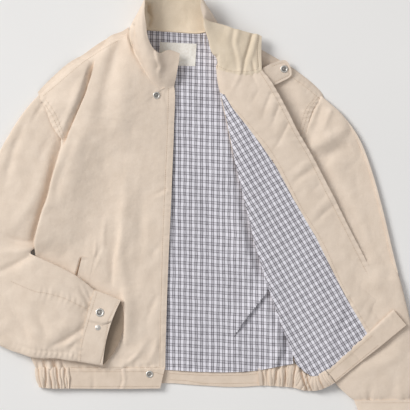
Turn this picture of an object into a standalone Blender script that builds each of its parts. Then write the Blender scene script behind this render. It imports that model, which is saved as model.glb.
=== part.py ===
"""Cotton blouson laid flat, one front opened and folded back, made of its cut pieces."""

import bpy
import numpy as np
from mathutils import Vector
from mathutils.bvhtree import BVHTree

MM = 0.001
SHELL = 1.2  # wall of the outer cloth
LINING = 1.0  # wall of the lining, the facing and the inner collar
RIB = 3.0  # wall of the waistband, which is doubled over
SEAM = 0.3  # gap between sewn pieces
CENTRE = (-21.0, -8.8)  # middle of the laid-out garment in the frame of the tables
FRONT_SHARES = (0.12, 0.35, 0.65, 0.93, 1)  # where the heights of a front row stand, from left to right
# How a row of the opened front is divided: places of the part that stays down and of the fold,
# then shares of the lining and of the facing.
STAY_PLACES = (0, 0.5, 1, 2, 2.6, 3, 3.35, 3.7, 4, 4.3, 4.65)
FOLD_COLUMN = 7
LINED_FROM = 4.85
LINED_SPREAD = (0, 0.33, 0.67)
FACED_SPREAD = (0, 0.33, 0.67, 1)
OPENED_DOWN = tuple(np.arange(0, 11.5, 0.5))
LINING_FIRST_ROW = 1.5
COLLAR_DOWN = (*range(5), *np.arange(5, 8, 0.5), *range(8, 10), *np.arange(10, 17, 0.5), *range(17, 21))
COLLAR_ACROSS = (0, 0.8, 1.5, 2, 2.5, 3.1, 4)
TUBE_POWER = 0.78  # below 1 squares the section of a sleeve off
LABEL_WALL = 0.8
POCKET_WALL = 1.4
TAB_WALL = 1.8
SNAP_HEIGHT = 1.8
PLEAT_DEPTH = 0.8

# Each point is x, y, z in millimetres: x to the photo's right and y to its top, both from its middle.
# Back panel and its lining: x, y from the neck down to the hem, at five places across.
BACK_ROWS = (
    # left edge, quarter, middle, three quarters, right edge
    ((-128.3, 298.5), (-90.1, 295.8), (-51, 292.4), (-11.9, 294.9), (25.5, 299.2)),
    ((-176.8, 277.1), (-112.2, 274.4), (-49.3, 272), (15.3, 271.3), (78.2, 268.3)),
    ((-227.8, 237.3), (-137.7, 236.3), (-47.6, 236.3), (42.5, 235.6), (133.4, 235.6)),
    ((-275.4, 190.7), (-158.1, 188.7), (-42.5, 187), (78.2, 186.2), (193.8, 186.3)),
    ((-264.3, 166.6), (-153, 166.6), (-42.5, 166.6), (69.7, 166.6), (182.8, 164)),
    ((-237.2, 108.8), (-139.4, 108.8), (-40.8, 108.8), (62.9, 108.8), (165.8, 108.8)),
    ((-215, 22.1), (-124.1, 20.4), (-32.3, 18.7), (56.1, 18.7), (143.7, 17)),
    ((-227.8, -17), (-132.6, -17), (-39.1, -18.7), (54.4, -18.7), (146.2, -18.7)),
    ((-249.9, -47.6), (-149.6, -49.3), (-47.6, -51), (51, -52.7), (149.6, -54.4)),
    ((-272, -69.7), (-164.9, -73.1), (-59.5, -76.5), (47.6, -79.9), (153, -81.6)),
    ((-283.9, -88.4), (-173.4, -93.5), (-64.6, -100.3), (45.9, -105.4), (154.7, -110.5)),
    ((-295.8, -137.7), (-181.9, -141.1), (-68, -144.5), (44.2, -147.9), (154.7, -151.3)),
    ((-299.2, -198.9), (-185.3, -200.6), (-71.4, -202.3), (42.5, -204), (154.7, -204)),
    ((-283.9, -275.4), (-170, -277.1), (-62.9, -277.6), (34, -281.9), (154.7, -266.1)),
)
LINING_ROWS = (
    # left edge, middle, right edge
    ((-108.8, 302.1, 2.1), (-51, 299.2, 2.1), (11.9, 296.1, 2.1)),
    ((-107.1, 273.7, 2.1), (-42.5, 272, 2.6), (15.3, 272, 3)),
    ((-93.5, 243.1, 2.1), (-32.3, 239.7, 3), (23.8, 243.1, 3.4)),
    ((-69.7, 192.1, 2.1), (-17, 192.1, 3.4), (37.4, 192.1, 3)),
    ((-71.4, 119, 2.1), (-10.2, 119, 3.2), (54.4, 119, 3.4)),
    ((-74.8, 25.5, 2.1), (-1.7, 25.5, 3.6), (76.5, 25.5, 3)),
    ((-78.2, -59.5, 2.1), (10.2, -59.5, 3), (98.6, -59.5, 3.4)),
    ((-80.8, -144.5, 2.1), (20.4, -144.5, 4), (122.4, -144.5, 3)),
    ((-81.6, -212.5, 2.1), (28.9, -212.5, 3), (144.5, -212.5, 3.4)),
    ((-81.6, -276.6, 2.1), (11.9, -280.5, 2.4), (149.6, -266.1, 2.1)),
)
HEM_LINE = (
    # x, y along the lower edge of the back, where the waistband is sewn on
    (-283.9, -275.4),
    (-170, -277.1),
    (-62.9, -277.6),
    (-8.5, -281),
    (34, -281.9),
    (68, -280.8),
    (93.5, -278.1),
    (119, -273),
    (154.7, -266.1),
)
# Front with its outside up, from the shoulder seam down to the waistband.
FRONT_ROWS = (
    # left and right in plan, tuck, roll, how far the row bows up its middle, and heights at the left edge,
    # at 12, 35, 65 and 93 per cent, and at the right
    ((-280.8, 188.4), (-130, 299.4), 2, 0.8, 7, (3.4, 3.2, 3.2, 3.2, 3.2, 3.2)),
    ((-276.1, 180.2), (-128.3, 289), 2, 1.2, 5.5, (8, 9.5, 11, 12, 11, 8)),
    ((-265.2, 164), (-122.4, 266.9), 2, 1.2, 3, (10, 11, 10, 16, 15, 11)),
    ((-253.3, 137), (-106.2, 232.9), 2, 1.5, 1, (11.5, 9.5, 20, 19, 17, 14)),
    ((-243.4, 109.1), (-92.6, 210.8), 8, 3, 0, (18, 22, 22, 19, 16, 15)),
    ((-249.9, 79.9), (-73.1, 198), 14, 4, 0, (24, 26, 23, 18, 14, 13)),
    ((-259.8, 45.9), (-52.4, 201.1), 16, 4.2, 0, (25, 26, 23, 17, 11, 10)),
    ((-267.9, 11.9), (-52.7, 130.9), 15, 4, 0, (24, 25, 21, 15, 9, 7)),
    ((-278.8, -18.7), (-55.4, 62.9), 14, 3.6, 0, (23, 22, 19, 14, 8.5, 6.5)),
    ((-288.1, -59.5), (-57.8, 0), 7, 2.2, 0, (20.5, 19, 16, 12.5, 8, 6.5)),
    ((-287.3, -93.5), (-60.2, -52.7), 6, 2, 0, (9.5, 9.8, 11, 11, 8, 6.5)),
    ((-300.9, -141.1), (-62.6, -107.1), 8, 2.5, 0, (8.8, 9.2, 10, 10.5, 8.5, 6.5)),
    ((-309.4, -190.4), (-64.9, -166.6), 8, 3, 0, (9.2, 9.6, 10, 10.5, 8.5, 6.5)),
    ((-302.6, -238), (-66.6, -222.7), 7, 2.6, 0, (9.2, 9.8, 10, 10.3, 8.5, 6.5)),
    ((-285.6, -278.1), (-67.5, -278.8), 5, 2, 0, (8, 8.2, 8.2, 8.2, 8, 7)),
)
# Front that is opened and folded back, from the neck down to the waistband.
OPEN_ROWS = (
    # seam end, near it, middle and inner end of the part that stays down, fold, five places to the front edge
    ((28.1, 298.3, 3.2), (27, 292.1, 6), (22.9, 266.9, 8), (22.1, 244.8, 13), (19.6, 235.4, 19),
     (23.8, 230.2, 25), (42.5, 224.4, 26), (62.9, 221.7, 25.5), (81.6, 222.7, 24.5), (96.9, 228.3, 23.5)),
    ((97.8, 258.7, 3.2), (89.4, 251.6, 7.5), (59.5, 229.5, 9), (30.6, 202.3, 8), (22.9, 205.7, 15.5),
     (29.8, 202.3, 23.5), (54.4, 197.2, 26.5), (78.2, 196.3, 26.5), (98.6, 202.3, 26), (112.2, 209.1, 25)),
    ((153, 225.6, 3.2), (140.8, 217.9, 7.5), (93.5, 195.5, 9), (39.1, 161.5, 6.5), (31.4, 171.7, 12.5),
     (39.1, 168.3, 20.5), (64.6, 164.9, 25), (91.8, 166.6, 26.5), (113.9, 171.7, 26),
      (129.2, 180.2, 24.5)),
    ((197.2, 185.3, 4), (179.9, 179.2, 8), (113.9, 158.1, 9.5), (47.6, 130.9, 6), (38.2, 141.1, 11.5),
     (45.9, 137.7, 18), (73.1, 134.3, 22.5), (102, 139.4, 24.5), (127.5, 146.2, 25), (142.8, 154.7, 24)),
    ((180.7, 158.1, 9), (168, 151.3, 9.6), (117.3, 124.1, 9.5), (52.7, 102, 6), (45, 107.1, 10.5),
     (52.7, 103.7, 16.5), (79.9, 102, 19.5), (110.5, 108.8, 22.5), (139.4, 117.3, 24),
      (158.1, 124.1, 23.5)),
    ((163.2, 90.1, 9), (153.3, 85.7, 9.3), (113.9, 68, 9), (62.9, 56.1, 5.8), (54.4, 62.9, 10),
     (62, 59.5, 15), (88.4, 59.5, 17), (122.4, 66.3, 20), (156.4, 76.5, 23), (180.2, 86.7, 22.5)),
    ((145, 18.7, 8), (138, 16, 8.6), (110.5, 5.1, 8.5), (76.5, 1.7, 5.8), (68, 6.8, 9.2),
     (75.6, 3.4, 14), (105.4, 5.1, 15.5), (142.8, 8.5, 18.5), (181.9, 15.3, 21.5), (214.2, 22.1, 21.5)),
    ((149.6, -56.1, 8), (143.8, -57.1, 8.4), (120.7, -61.2, 8.5), (92.6, -64.6, 5.8), (84.1, -59.5, 8.8),
     (91.8, -62.9, 13), (122.4, -62.9, 14), (161.5, -57.8, 17), (205.7, -51, 20), (246.5, -42.5, 20)),
    ((153, -134.3, 8), (149.3, -134.6, 8.4), (134.3, -136, 8.5), (113.9, -137.7, 5.6),
     (105.4, -130.9, 8.2),
     (113, -134.3, 12.5), (142.8, -134.3, 13.5), (183.6, -125.8, 17.5), (231.2, -112.2, 20),
      (276.2, -98.6, 19.5)),
    ((154.7, -205.7, 8), (153, -205.7, 8.4), (146.2, -205.7, 8), (137.7, -205.7, 5.4),
     (129.2, -200.6, 7.8),
     (136.8, -205.7, 12), (161.5, -209.1, 13), (198.9, -195.5, 18), (251.6, -168.3, 20.5),
      (301.8, -142.8, 19)),
    ((156.4, -239.7, 7), (155.7, -239.7, 7.4), (153, -239.7, 7), (148.8, -238, 5), (142.8, -234.6, 7.4),
     (148.8, -241.4, 11.2), (171.7, -251.6, 12.3), (205.7, -241.4, 17.5), (258.4, -200.6, 20.5),
      (311.9, -161.5, 18.5)),
    ((158.9, -265.2, 6), (158.8, -265, 6), (158.1, -264.3, 5.6), (157.2, -262.6, 4.6), (153.8, -263.5, 7),
     (160.7, -275.4, 10.2), (183.6, -290.4, 11.5), (209.1, -279.5, 15), (263.5, -231.5, 20),
      (320.4, -178.8, 18)),
)
FACING_SEAM = (
    # row of the opened front, and the place in it where the lining ends and the facing starts
    (1.4, 5),
    (2, 5.3),
    (3, 5.93),
    (4, 6.46),
    (5, 6.94),
    (6, 7.19),
    (7, 7.6),
    (8, 7.73),
    (9, 7.92),
    (10, 8.09),
    (11, 8.23),
)
# Stand collar, from the front end of the closed side round the neck to the end of the opened side.
COLLAR_ROWS = (
    # seam, quarter, middle, three quarters, top edge
    ((-52.4, 203.5, 11), (-49.3, 217.6, 15), (-46.8, 231.2, 17), (-44.2, 244.8, 18), (-43.2, 257.6, 17)),
    ((-72.2, 201.1, 14.5), (-69.7, 215.9, 19), (-67.1, 231.2, 21.5), (-64.6, 248.2, 24), (-61.2, 263, 23)),
    ((-91.3, 213.9, 16), (-89.2, 226.1, 25), (-85.8, 238, 31), (-81.6, 248.2, 33), (-76.5, 256.9, 31)),
    ((-104.7, 235.6, 15), (-103.7, 246.5, 27), (-99.5, 255, 35), (-94.3, 261.8, 38), (-88.4, 266.2, 36.5)),
    ((-117, 259.6, 13.5), (-115.6, 268.6, 27), (-110.5, 275.4, 37), (-103.7, 280.5, 42),
     (-96.9, 283.9, 41)),
    ((-125.5, 282.2, 11), (-123.8, 292.4, 25), (-117.6, 299.9, 37), (-109.1, 304, 44.5),
     (-99.8, 305.7, 44)),
    ((-126.8, 300.2, 6), (-122.4, 310.1, 20), (-115.9, 318.9, 34), (-108.8, 325.4, 43),
     (-102.3, 329.1, 44)),
    ((-116.5, 300.9, 4.6), (-111.5, 318.6, 12), (-107.1, 333.2, 25), (-102.7, 345.1, 36),
     (-99.5, 353.6, 40)),
    ((-93.5, 299.4, 4.4), (-92.6, 316.2, 7), (-90.1, 333.2, 13), (-87.5, 348.5, 22), (-84.1, 362.1, 31)),
    ((-51, 296.1, 4.4), (-51, 312.8, 5), (-51, 329.8, 8.5), (-51, 346.8, 14), (-51, 362.9, 21)),
    ((-10.2, 294.1, 4.4), (-12.8, 314.5, 7), (-16.1, 331.5, 13), (-18.7, 348.5, 22), (-22.9, 362.1, 31)),
    ((12.8, 301.2, 4.6), (8.5, 318.6, 12), (2.7, 333.2, 25), (-2.7, 345.1, 36), (-7.6, 353.6, 40)),
    ((24.8, 300.6, 6), (19.4, 310.4, 18), (10.9, 321.6, 31), (1.7, 327.8, 40), (-7.1, 331.5, 42)),
    ((26.9, 287.3, 9), (15.3, 295.8, 24), (0.8, 302.6, 37), (-1.2, 310.2, 42), (0.8, 315.2, 41.5)),
    ((24.8, 270.3, 11), (15.3, 274.6, 25), (6.5, 279.6, 34), (10.2, 295.8, 37), (16.1, 309.1, 34)),
    ((23.8, 251.6, 15), (17.8, 254.2, 26), (13.9, 259.2, 32), (22.1, 283.9, 34), (32.3, 305.1, 31)),
    ((23.5, 232.7, 25.3), (26.3, 246.5, 30), (31.4, 263.5, 33), (39.1, 282.2, 33), (47.6, 299.5, 29.5)),
    ((42.5, 226.3, 26.3), (47.6, 243.1, 29.5), (52.7, 260.1, 31), (58.6, 278.8, 29.5),
     (64.6, 294.9, 25.5)),
    ((62.9, 223.5, 26), (65.5, 239.7, 28), (68.8, 256.7, 29), (73.1, 274.6, 27), (76.5, 291.9, 23)),
    ((81.3, 224.9, 25), (82.5, 239.7, 26), (84.1, 255, 26), (85.8, 272, 23.5), (87.4, 289.7, 20)),
    ((96.2, 229.2, 23.5), (95.5, 244.8, 23.5), (95.2, 258.4, 22.5), (95.5, 272, 20.5), (96, 286.4, 18)),
)
# Sleeve on the closed side, from the armhole round the elbow to the cuff seam.
NEAR_SLEEVE_ROWS = (
    # inner edge, outer edge, heights of the underside at both, thickness, bows of the top and underside
    ((-219.3, 23.8), (-281.7, 187), 1.3, 1.3, 9, -7, -7),
    ((-224.4, 1.7), (-314.5, 147.9), 1.3, 1.3, 12.5, -3, -3),
    ((-239.7, -25.5), (-346.8, 93.5), 1.3, 1.3, 13, 0, 0),
    ((-260.1, -47.6), (-382.5, 25.5), 1.3, 1.3, 13, 0, 0),
    ((-282.2, -65.5), (-413.1, -45.9), 1.9, 1.3, 13, 0, 0),
    ((-293.2, -75.6), (-423.3, -113.9), 5.9, 1.3, 14.5, 0, 0),
    ((-296.6, -80.8), (-404.6, -181.9), 9.9, 1.3, 14, 0, 0),
    ((-292.4, -85), (-357, -232.9), 13.5, 3.5, 12.5, 0, 0),
    ((-268.6, -95.2), (-292.4, -257.6), 14.6, 13.2, 11.5, 0, 0),
    ((-236.3, -110.5), (-253.3, -260.1), 14.6, 13.4, 12, 0, 0),
    ((-209.1, -127), (-229.5, -264), 14.6, 13.6, 12, 0, 0),
    ((-187.7, -144.7), (-215.6, -264.9), 14.6, 13.8, 9.5, -3, -3),
)
NEAR_CUFF_ROWS = (
    ((-187.2, -144.8), (-215, -265), 14.4, 13.8, 10.3, -3, -3),
    ((-166.6, -152.2), (-193.8, -268.6), 14.6, 13.8, 10.5, -4, 5),
    ((-142.8, -162), (-173.4, -271.7), 14.6, 13.8, 10.5, -6, 17),
)
# Sleeve on the opened side.
FAR_SLEEVE_ROWS = (
    ((147, 17), (199.8, 182.8), 1.3, 1.3, 9.5, -7.5, -7.5),
    ((151.3, -3.4), (232.9, 153), 1.3, 1.3, 12.5, -3, -3),
    ((153.8, -23.8), (261.8, 112.2), 1.3, 1.3, 13, 0, 0),
    ((156.4, -47.6), (283.1, 57.8), 1.3, 1.3, 13, 0, 0),
    ((159.8, -79.9), (302.6, -11.9), 1.3, 1.3, 13, 0, 0),
    ((164.9, -119), (317.9, -76.5), 1.3, 1.3, 13, 0, 0),
    ((173.4, -166.6), (334.9, -144.5), 1.3, 1.3, 13, 0, 0),
    ((187, -219.3), (351.9, -212.5), 1.3, 1.3, 13, 0, 0),
    ((205.7, -266.9), (365.5, -266.9), 1.3, 1.3, 13, 0, 0),
    ((221.8, -301.8), (374.8, -304.3), 1.3, 1.3, 13, 0, 0),
    ((241.4, -322.1), (378.2, -319.6), 1.3, 1.3, 12, 0, 0),
    ((254.2, -331.5), (379.1, -330.1), 1.3, 1.3, 9.5, 0, 0),
)
FAR_CUFF_ROWS = (
    ((254.3, -332.2), (379.3, -330.8), 1.9, 1.9, 9, 0, 0),
    ((262.6, -353.6), (379.9, -353.6), 1.9, 1.9, 10, 0, 2),
    ((270.3, -377.4), (380.8, -377.4), 1.9, 1.9, 10.5, -2, 4),
)
# Waistband pieces: upper edge and lower edge, from one end to the other.
FRONT_BAND_ROWS = (
    ((-229.5, -279, 8.6), (-229.5, -311.6, 8.4)),
    ((-178.5, -279.1, 8.6), (-181.9, -312.1, 8.4)),
    ((-119, -279.3, 8.6), (-124.1, -312.1, 8.4)),
    ((-68.7, -279.6, 8.2), (-76.2, -311.6, 8)),
)
SIDE_BAND_ROWS = (
    # over the top from the front, round the side and back underneath
    ((-230.2, -279, 8.6), (-230.2, -311.4, 8.4)),
    ((-253.3, -279, 9.2), (-253.3, -311.8, 9)),
    ((-273.7, -279.3, 9.2), (-269.4, -310.8, 9)),
    ((-282.9, -280.2, 7.6), (-277.8, -310.1, 7.4)),
    ((-285.9, -280.8, 5.2), (-280.5, -309.4, 5.2)),
    ((-282.9, -279.8, 3), (-277.8, -309.1, 3)),
    ((-273.7, -277.8, 2.3), (-269.4, -309.1, 2.3)),
    ((-253.3, -277.8, 2.3), (-253.3, -308.7, 2.3)),
    ((-230.2, -277.4, 2.3), (-230.2, -308.4, 2.3)),
)
OPEN_SIDE_BAND_ROWS = (
    ((94.2, -279.1, 1.9), (96, -306.7, 1.9)),
    ((119, -274.2, 2.6), (122.4, -307.9, 2.4)),
    ((149.6, -271.3, 3.4), (148.8, -310.1, 3)),
    ((167.4, -286.3, 5.5), (172.5, -315.2, 4.2)),
    ((185.3, -293.4, 9.5), (197.2, -312.8, 8)),
    ((206.7, -283.2, 15), (221.5, -300.7, 14.3)),
)
OPEN_BAND_ROWS = (
    ((207.4, -282.5, 15.6), (222.2, -300.1, 15.4)),
    ((241.4, -252.6, 18.4), (257.6, -271.3, 18)),
    ((277.9, -220.7, 20.3), (294.9, -241.7, 19.5)),
    ((321.8, -180.2, 18.4), (341.4, -203.7, 18)),
)
BACK_BAND_DEPTHS = (
    # x along the waistband and how far it reaches below the hem line
    (-229.5, 30.4),
    (-62.9, 24),
    (3.4, 25.2),
    (93.5, 28.4),
)
POCKET_CORNERS = ((-209.1, -87.5), (-188.7, -89.2), (-198, -132.6), (-219.3, -130))
LABEL_CORNERS = ((-76.5, 276.9), (-14.3, 273.9), (-16.7, 235.8), (-78.5, 238))
TAB_ROWS = (
    # upper and lower edge, from under the front edge to the tip
    ((89.2, 225.2, 22), (99.5, 197.2, 23)),
    ((102, 234.6, 19.5), (108.8, 200.6, 20.5)),
    ((114.2, 240.4, 16.5), (119.8, 204.3, 17.5)),
    ((131.9, 245.8, 13.5), (134.3, 211.5, 14)),
    ((140.1, 242.8, 12.5), (141.6, 215.2, 12.8)),
    ((146.7, 230.3, 12), (147.2, 221, 12)),
)
SNAPS = (
    # name, the piece it sits on, x and y, width
    ("neck_snap", "closed_front", (-82.3, 186.3), 12.5),
    ("hem_snap", "closed_front_band", (-94.3, -287.3), 12.5),
    ("tab_snap", "neck_tab", (134.3, 230.9), 13.0),
    ("near_cuff_snap", "near_cuff", (-178.2, -182.2), 15.0),
    ("near_cuff_stud", "near_cuff", (-181.6, -207.9), 9.0),
    ("far_cuff_snap", "far_cuff", (295.8, -355.3), 15.0),
    ("far_cuff_stud", "far_cuff", (321.3, -353.6), 9.0),
)

# Colours as linear red, green, blue.
SAND = (0.69, 0.58, 0.45, 1)
STRAW = (0.66, 0.55, 0.40, 1)
CHECK = (0.62, 0.60, 0.63, 1)
STEEL = (0.6, 0.6, 0.6, 1)
WHITE = (0.72, 0.71, 0.66, 1)


def clear_scene():
    for old in list(bpy.data.objects):
        bpy.data.objects.remove(old, do_unlink=True)


def material(name, colour, rough, metal=0.0):
    made = bpy.data.materials.new(name)
    made.use_nodes = True
    shader = made.node_tree.nodes["Principled BSDF"]
    shader.inputs["Base Color"].default_value = colour
    shader.inputs["Roughness"].default_value = rough
    shader.inputs["Metallic"].default_value = metal
    return made


def weights(count, places):
    """Share of each of count control values in a smooth curve through them, at places up to count - 1."""
    places = np.clip(np.asarray(places, float), 0, count - 1)
    low = np.minimum(places.astype(int), count - 2)
    t = places - low
    found = np.zeros((len(places), count + 2))
    here = np.arange(len(places))
    found[here, low] += -0.5 * t + t**2 - 0.5 * t**3
    found[here, low + 1] += 1 - 2.5 * t**2 + 1.5 * t**3
    found[here, low + 2] += 0.5 * t + 2 * t**2 - 1.5 * t**3
    found[here, low + 3] += -0.5 * t**2 + 0.5 * t**3
    found[:, 1] += 2 * found[:, 0]
    found[:, 2] -= found[:, 0]
    found[:, -2] += 2 * found[:, -1]
    found[:, -3] -= found[:, -1]
    return found[:, 1:-1]


def patch(grid, down, across):
    """Points of the smooth surface through a grid of control points."""
    grid = np.asarray(grid, float)
    rows = weights(grid.shape[0], down)
    columns = weights(grid.shape[1], across)
    return np.einsum("ir,jc,rck->ijk", rows, columns, grid)


def normals(points, ring=False):
    down = np.gradient(points, axis=0)
    if ring:
        across = np.roll(points, -1, axis=1) - np.roll(points, 1, axis=1)
    else:
        across = np.gradient(points, axis=1)
    found = np.cross(down, across)
    return found / np.linalg.norm(found, axis=2, keepdims=True)


def moved_out(points, distance):
    return points + normals(points) * distance


def wall(name, points, thickness, finish, root, ring=False, kept=None):
    """A sheet of cloth through these points, half its wall on each side.

    With kept it has only those faces of the grid, drawn in at their edge by a seam's gap.
    """
    rows, columns = points.shape[:2]
    placed = points.reshape(-1, 3).copy()
    faces = []
    for i in range(rows - 1):
        for j in range(columns if ring else columns - 1):
            if kept is not None and not kept[i, j]:
                continue
            k = (j + 1) % columns
            below = (i + 1) * columns
            faces.append((i * columns + j, below + j, below + k, i * columns + k))
    if kept is not None:
        placed = drawn_in(placed, faces)
    used = sorted({corner for face in faces for corner in face})
    renumbered = {old: new for new, old in enumerate(used)}
    faces = [[renumbered[corner] for corner in face] for face in faces]
    placed = (placed[used] - np.array((*CENTRE, 0))) * MM
    mesh = bpy.data.meshes.new(name)
    mesh.from_pydata([tuple(p) for p in placed], [], faces)
    mesh.materials.append(finish)
    made = bpy.data.objects.new(name, mesh)
    collection.objects.link(made)
    made.parent = root
    solid = made.modifiers.new("Wall", "SOLIDIFY")
    solid.thickness = thickness * MM
    solid.offset = 0
    return made


def drawn_in(points, faces):
    """The points with those on the edge of the faces moved a little way in."""
    middles = {}
    for face in faces:
        middle = points[list(face)].mean(axis=0)
        for corner in face:
            middles.setdefault(corner, []).append(middle)
    moved = points.copy()
    for corner, around in middles.items():
        if len(around) != 4:
            inward = np.mean(around, axis=0) - points[corner]
            moved[corner] += inward / np.linalg.norm(inward) * SEAM
    return moved


def front_grid():
    """Control points of the closed front: turned under, round its outer edge, across to the front edge."""
    grid = []
    for left, right, tuck, roll, bow, heights in FRONT_ROWS:
        left = np.array(left)
        right = np.array(right)
        inward = (right - left) / np.linalg.norm(right - left)
        up = np.array((-inward[1], inward[0]))
        top = heights[0]
        row = [
            (*(left + inward * (roll + tuck)), top - 2 * roll),
            (*(left + inward * roll), top - 2 * roll),
            (*left, top - roll),
            (*(left + inward * roll), top),
        ]
        for share, height in zip(FRONT_SHARES, heights[1:]):
            row.append((*(left + (right - left) * share + up * bow * 4 * share * (1 - share)), height))
        grid.append(row)
    return np.array(grid)


def tube(rows, steps, around, turn):
    """A flattened sleeve: each row gives its two edges in plan, and how high and thick it lies."""
    table = np.array([(*a, *b, *rest) for a, b, *rest in rows])
    table = weights(len(table), np.linspace(0, len(table) - 1, steps)) @ table
    angles = np.arange(around) * 2 * np.pi / around
    cosine = np.cos(angles)
    sine = np.sin(angles)
    share = (1 - np.sign(cosine) * np.abs(cosine) ** TUBE_POWER) / 2
    lift = (1 + np.sign(sine) * np.abs(sine) ** TUBE_POWER) / 2
    rings = []
    for ax, ay, bx, by, low_a, low_b, thick, top_bow, low_bow in table:
        side = np.array((bx - ax, by - ay))
        ahead = turn * np.array((-side[1], side[0])) / np.linalg.norm(side)
        bow = np.where(sine > 0, top_bow, low_bow) * 4 * share * (1 - share)
        plan = np.array((ax, ay)) + share[:, None] * side + bow[:, None] * ahead
        height = low_a + (low_b - low_a) * share + thick * lift
        rings.append(np.column_stack((plan, height)))
    return np.array(rings)


def strip(rows, steps, across, pleats=0):
    """A band through rows of an upper and a lower edge point, gathered into pleats where it is elastic."""
    grid = np.array([[(*p,) for p in row] for row in rows], float)
    places = np.linspace(0, len(grid) - 1, steps)
    points = patch(grid, places, np.linspace(0, 1, across))
    if pleats:
        wave = np.sin(np.linspace(0, 2 * np.pi * pleats, steps))
        fade = np.sin(np.linspace(0, np.pi, steps)) ** 0.5
        points = points + normals(points) * (PLEAT_DEPTH * wave * fade)[:, None, None]
    return points


def back_band_rows():
    places = np.linspace(BACK_BAND_DEPTHS[0][0], BACK_BAND_DEPTHS[-1][0], 12)
    hem = np.interp(places, *np.array(HEM_LINE).T) - 2 * SEAM
    depth = np.interp(places, *np.array(BACK_BAND_DEPTHS).T)
    return [((x, y, RIB / 2), (x, y - d, RIB / 2)) for x, y, d in zip(places, hem, depth)]


def top_of(made):
    """A tree of the finished faces of this piece, to lay other pieces on."""
    return BVHTree.FromObject(made, bpy.context.evaluated_depsgraph_get())


def laid_on(tree, x, y):
    """Height in millimetres and upward direction of the cloth at a point of the tables' plan."""
    above = Vector(((x - CENTRE[0]) * MM, (y - CENTRE[1]) * MM, 1))
    place, normal, _, _ = tree.ray_cast(above, Vector((0, 0, -1)))
    return place.z / MM, normal


def on_cloth(tree, corners, down, across, lift):
    """A four-cornered piece that follows the cloth beneath it."""
    a, b, c, d = (np.array(p) for p in corners)
    rows = []
    for u in np.linspace(0, 1, down):
        row = []
        for v in np.linspace(0, 1, across):
            x, y = (a * (1 - v) + b * v) * (1 - u) + (d * (1 - v) + c * v) * u
            row.append((x, y, laid_on(tree, x, y)[0] + lift))
        rows.append(row)
    return np.array(rows)


def snap(name, base, centre, width, finish, root):
    """A turned snap cap with a dished middle."""
    radius = width / 2
    profile = (
        (0, 0),
        (radius, 0),
        (radius, SNAP_HEIGHT * 0.45),
        (radius * 0.8, SNAP_HEIGHT),
        (radius * 0.5, SNAP_HEIGHT),
        (radius * 0.38, SNAP_HEIGHT * 0.55),
        (0, SNAP_HEIGHT * 0.55),
    )
    mesh = bpy.data.meshes.new(name)
    edges = [(i, i + 1) for i in range(len(profile) - 1)]
    mesh.from_pydata([(r * MM, 0, z * MM) for r, z in profile], edges, [])
    mesh.materials.append(finish)
    made = bpy.data.objects.new(name, mesh)
    collection.objects.link(made)
    turned = made.modifiers.new("Turned", "SCREW")
    turned.steps = 20
    turned.render_steps = 20
    turned.use_merge_vertices = True
    turned.merge_threshold = 0.00001
    turned.use_normal_calculate = True
    height, normal = laid_on(top_of(bpy.data.objects[base]), *centre)
    made.location = (
        (centre[0] - CENTRE[0]) * MM,
        (centre[1] - CENTRE[1]) * MM,
        (height + 2 * SEAM) * MM,
    )
    made.rotation_euler = Vector((0, 0, 1)).rotation_difference(normal).to_euler()
    made.parent = root
    return made


clear_scene()
collection = bpy.data.collections.new("blouson")
bpy.context.scene.collection.children.link(collection)
root = bpy.data.objects.new("laid_blouson", None)
collection.objects.link(root)

# Back: the outer cloth lies flat, with the lining on it where it shows.
back = np.array([[(x, y, SHELL / 2) for x, y in row] for row in BACK_ROWS])
wall(
    "back_panel",
    patch(back, np.linspace(0, 13, 14), np.linspace(0, 4, 5)),
    SHELL,
    material("back cotton", SAND, 0.85),
    root,
)
lining_grid = np.array(LINING_ROWS)
lining = wall(
    "back_lining",
    patch(lining_grid, np.linspace(0, 9, 14), np.linspace(0, 2, 7)),
    LINING,
    material("back lining check", CHECK, 0.85),
    root,
)

# Closed front.
front_across = (0, 1, 1.5, 2, 2.5, 3, 3.5, 4, 4.5, 5, 5.5, 6, 6.5, 7, 8)
front = wall(
    "closed_front",
    patch(front_grid(), np.linspace(0, 14, 22), front_across),
    SHELL,
    material("closed front cotton", SAND, 0.85),
    root,
)

# Opened front, with its lining and facing on the side that is turned up.
opened_rows = []
for place in OPENED_DOWN:
    seam = np.interp(place, *np.array(FACING_SEAM).T)
    lined_part = LINED_FROM + (seam - LINED_FROM) * np.array(LINED_SPREAD)
    faced_part = seam + (9 - seam) * np.array(FACED_SPREAD)
    across = (*STAY_PLACES, *lined_part, *faced_part)
    opened_rows.append(patch(OPEN_ROWS, [place], across)[0])
opened = np.array(opened_rows)
wall("opened_front", opened, SHELL, material("opened front cotton", SAND, 0.85), root)
on_top = moved_out(opened, (SHELL + LINING) / 2 + SEAM)
down, across = np.indices((opened.shape[0] - 1, opened.shape[1] - 1))
seam_column = len(STAY_PLACES) + len(LINED_SPREAD)
above_lining = (down < OPENED_DOWN.index(LINING_FIRST_ROW)) & (across >= FOLD_COLUMN)
faced = above_lining | (across >= seam_column)
wall(
    "opened_front_facing",
    on_top,
    LINING,
    material("facing cotton", STRAW, 0.85),
    root,
    kept=faced,
)
wall(
    "opened_front_lining",
    on_top,
    LINING,
    material("front lining check", CHECK, 0.85),
    root,
    kept=(across >= FOLD_COLUMN) & ~faced,
)

# Collar: its outer and inner cloth together.
wall(
    "collar",
    patch(COLLAR_ROWS, COLLAR_DOWN, COLLAR_ACROSS),
    2 * SHELL,
    material("collar cotton", SAND, 0.85),
    root,
)

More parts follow.
